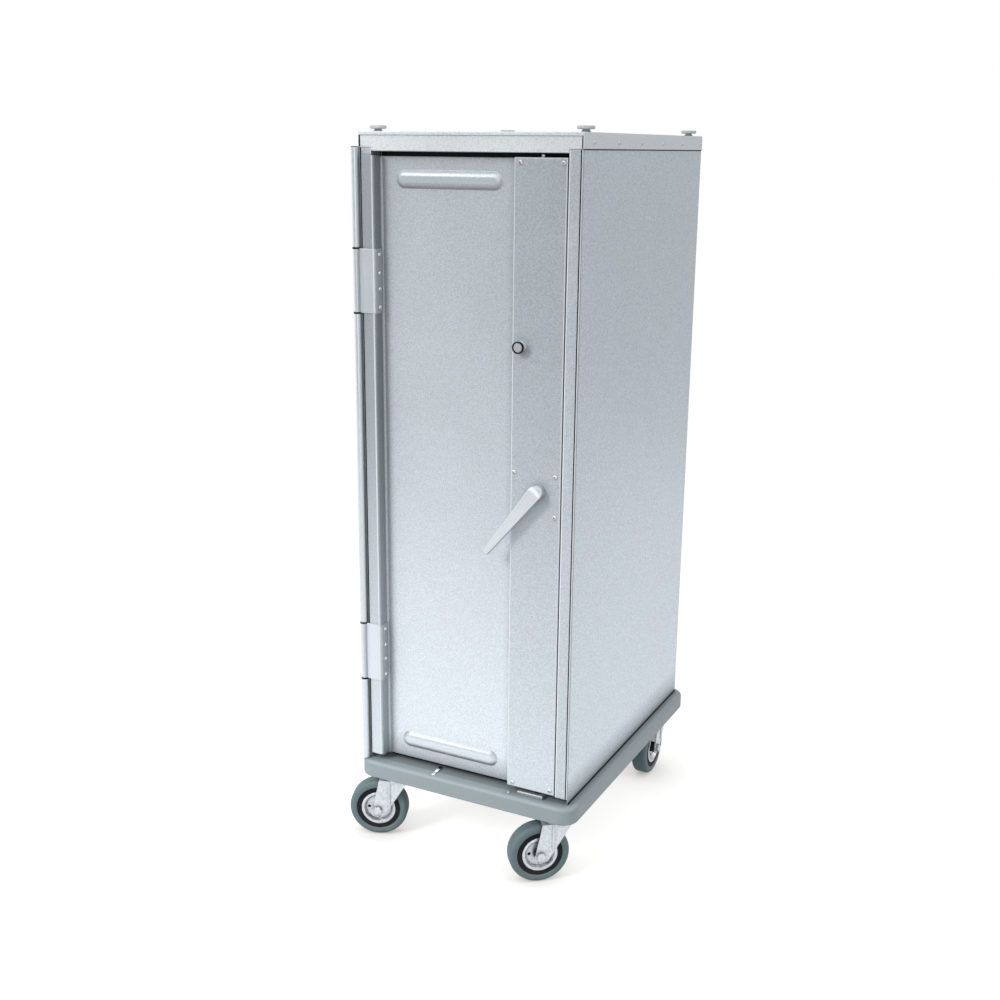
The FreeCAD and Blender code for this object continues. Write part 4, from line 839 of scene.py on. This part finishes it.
# pale round floor, darker close to the wheels
def addFloor():
    mesh = bpy.data.meshes.new("studioFloor")
    middle, reach, count = (stageSet[key] for key in ("floorCentre", "floorReach", "floorSides"))
    turns = [math.tau * i / count for i in range(count)]
    rim = [(middle[0] + reach * math.cos(turn), middle[1] + reach * math.sin(turn), 0) for turn in turns]
    mesh.from_pydata(rim, [], [tuple(range(count))])
    floor = bpy.data.objects.new("studioFloor", mesh)
    scene.collection.objects.link(floor)
    material = bpy.data.materials.new("studioFloor")
    material.use_nodes = True
    tree = material.node_tree
    tree.nodes.clear()
    out = addNode(tree, "ShaderNodeOutputMaterial")
    shader = addNode(tree, "ShaderNodeBsdfPrincipled")
    shader.inputs["Roughness"].default_value = 1.0
    shader.inputs["Specular IOR Level"].default_value = 0.0
    contact = useGroup(tree, jointGroup, Reach=stageSet["contactReach"], Amount=stageSet["contactShade"])
    for label, tint in (("Base Color", stageSet["floorTint"]), ("Emission Color", stageSet["floorGlow"])):
        shaded = mixColor(tree, contact.outputs["Mask"], (*tint, 1), (*stageSet["contactTint"], 1))
        tree.links.new(shaded, shader.inputs[label])
    path, seen = seenDirectly(tree)
    mirrored = mathNode(tree, "MULTIPLY", seen, stageSet["floorMirrored"])
    glow = mathNode(tree, "MAXIMUM", mirrored, path.outputs["Is Camera Ray"])
    tree.links.new(glow, shader.inputs["Emission Strength"])
    tree.links.new(shader.outputs["BSDF"], out.inputs["Surface"])
    mesh.materials.append(material)


def levelRamp(tree, value, stops):
    ramp = addNode(tree, "ShaderNodeValToRGB")
    ramp.color_ramp.interpolation = "EASE"
    while len(ramp.color_ramp.elements) < len(stops):
        ramp.color_ramp.elements.new(1.0)
    for stop, (place, level) in zip(ramp.color_ramp.elements, stops):
        stop.position = place
        stop.color = (level, level, level, 1)
    tree.links.new(value, ramp.inputs["Fac"])
    return ramp.outputs["Color"]


# even light on matt surfaces, screens in shiny ones, white behind the trolley
def addWorld():
    world = bpy.data.worlds.new("studio")
    scene.world = world
    world.use_nodes = True
    tree = world.node_tree
    tree.nodes.clear()
    out = addNode(tree, "ShaderNodeOutputWorld")
    direction = addNode(tree, "ShaderNodeTexCoord").outputs["Generated"]
    height = addNode(tree, "ShaderNodeMapRange", clamp=True)
    height.inputs["From Min"].default_value = -1.0
    tree.links.new(splitNode(tree, direction)["Z"], height.inputs["Value"])
    room = levelRamp(tree, height.outputs["Result"], stageSet["roomStops"])
    compass = addNode(tree, "ShaderNodeTexGradient", gradient_type="RADIAL")
    tree.links.new(direction, compass.inputs["Vector"])
    screens = levelRamp(tree, compass.outputs["Fac"], stageSet["screenStops"])
    around = mathNode(tree, "MAXIMUM", room, screens)
    path, seen = seenDirectly(tree)
    shown = mathNode(tree, "MAXIMUM", around, path.outputs["Is Camera Ray"])
    backdrop = addNode(tree, "ShaderNodeBackground")
    backdrop.inputs["Color"].default_value = (*stageSet["backdrop"], 1)
    tree.links.new(shown, backdrop.inputs["Strength"])
    ambient = addNode(tree, "ShaderNodeBackground")
    ambient.inputs["Color"].default_value = (1, 1, 1, 1)
    ambient.inputs["Strength"].default_value = stageSet["ambient"]
    mix = addNode(tree, "ShaderNodeMixShader")
    tree.links.new(seen, mix.inputs["Fac"])
    tree.links.new(ambient.outputs[0], mix.inputs[1])
    tree.links.new(backdrop.outputs[0], mix.inputs[2])
    tree.links.new(mix.outputs[0], out.inputs["Surface"])


# a lamp with a beam is a soft-edged spot, one with a size is a panel
lampSet = {
    "keyLamp": dict(place=(-1.5, -3.0, 2.5), aim=(-0.6, -0.3, 0.2), beam=52, radius=0.6, watts=365,
                    tint=(1.0, 1.0, 1.0)),
    "sideLamp": dict(place=(3.0, 0.3, 2.0), aim=(0.3, 0.0, -0.2), beam=46, radius=0.4, watts=85,
                     tint=(1.0, 1.0, 1.0)),
    "frontLamp": dict(place=(1.0, -3.4, 1.5), aim=(0, -0.2, 0.8), size=(0.4, 2.2), watts=14,
                      tint=(1.0, 1.0, 1.0)),
}


def addLamps():
    for name, lamp in lampSet.items():
        if "beam" in lamp:
            data = bpy.data.lights.new(name, "SPOT")
            data.spot_size, data.spot_blend = math.radians(lamp["beam"]), 1.0
            data.shadow_soft_size = lamp["radius"]
        else:
            data = bpy.data.lights.new(name, "AREA")
            data.shape = "RECTANGLE"
            data.size, data.size_y = lamp["size"]
        data.energy = lamp["watts"]
        data.color = lamp["tint"]
        item = bpy.data.objects.new(name, data)
        scene.collection.objects.link(item)
        item.location = lamp["place"]
        item.rotation_mode = "QUATERNION"
        item.rotation_quaternion = (Vector(lamp["aim"]) - Vector(lamp["place"])).to_track_quat("-Z", "Y")
        item.visible_camera = False


addFloor()
addWorld()
addLamps()
scene.view_settings.view_transform = "Standard"
print("stage done")
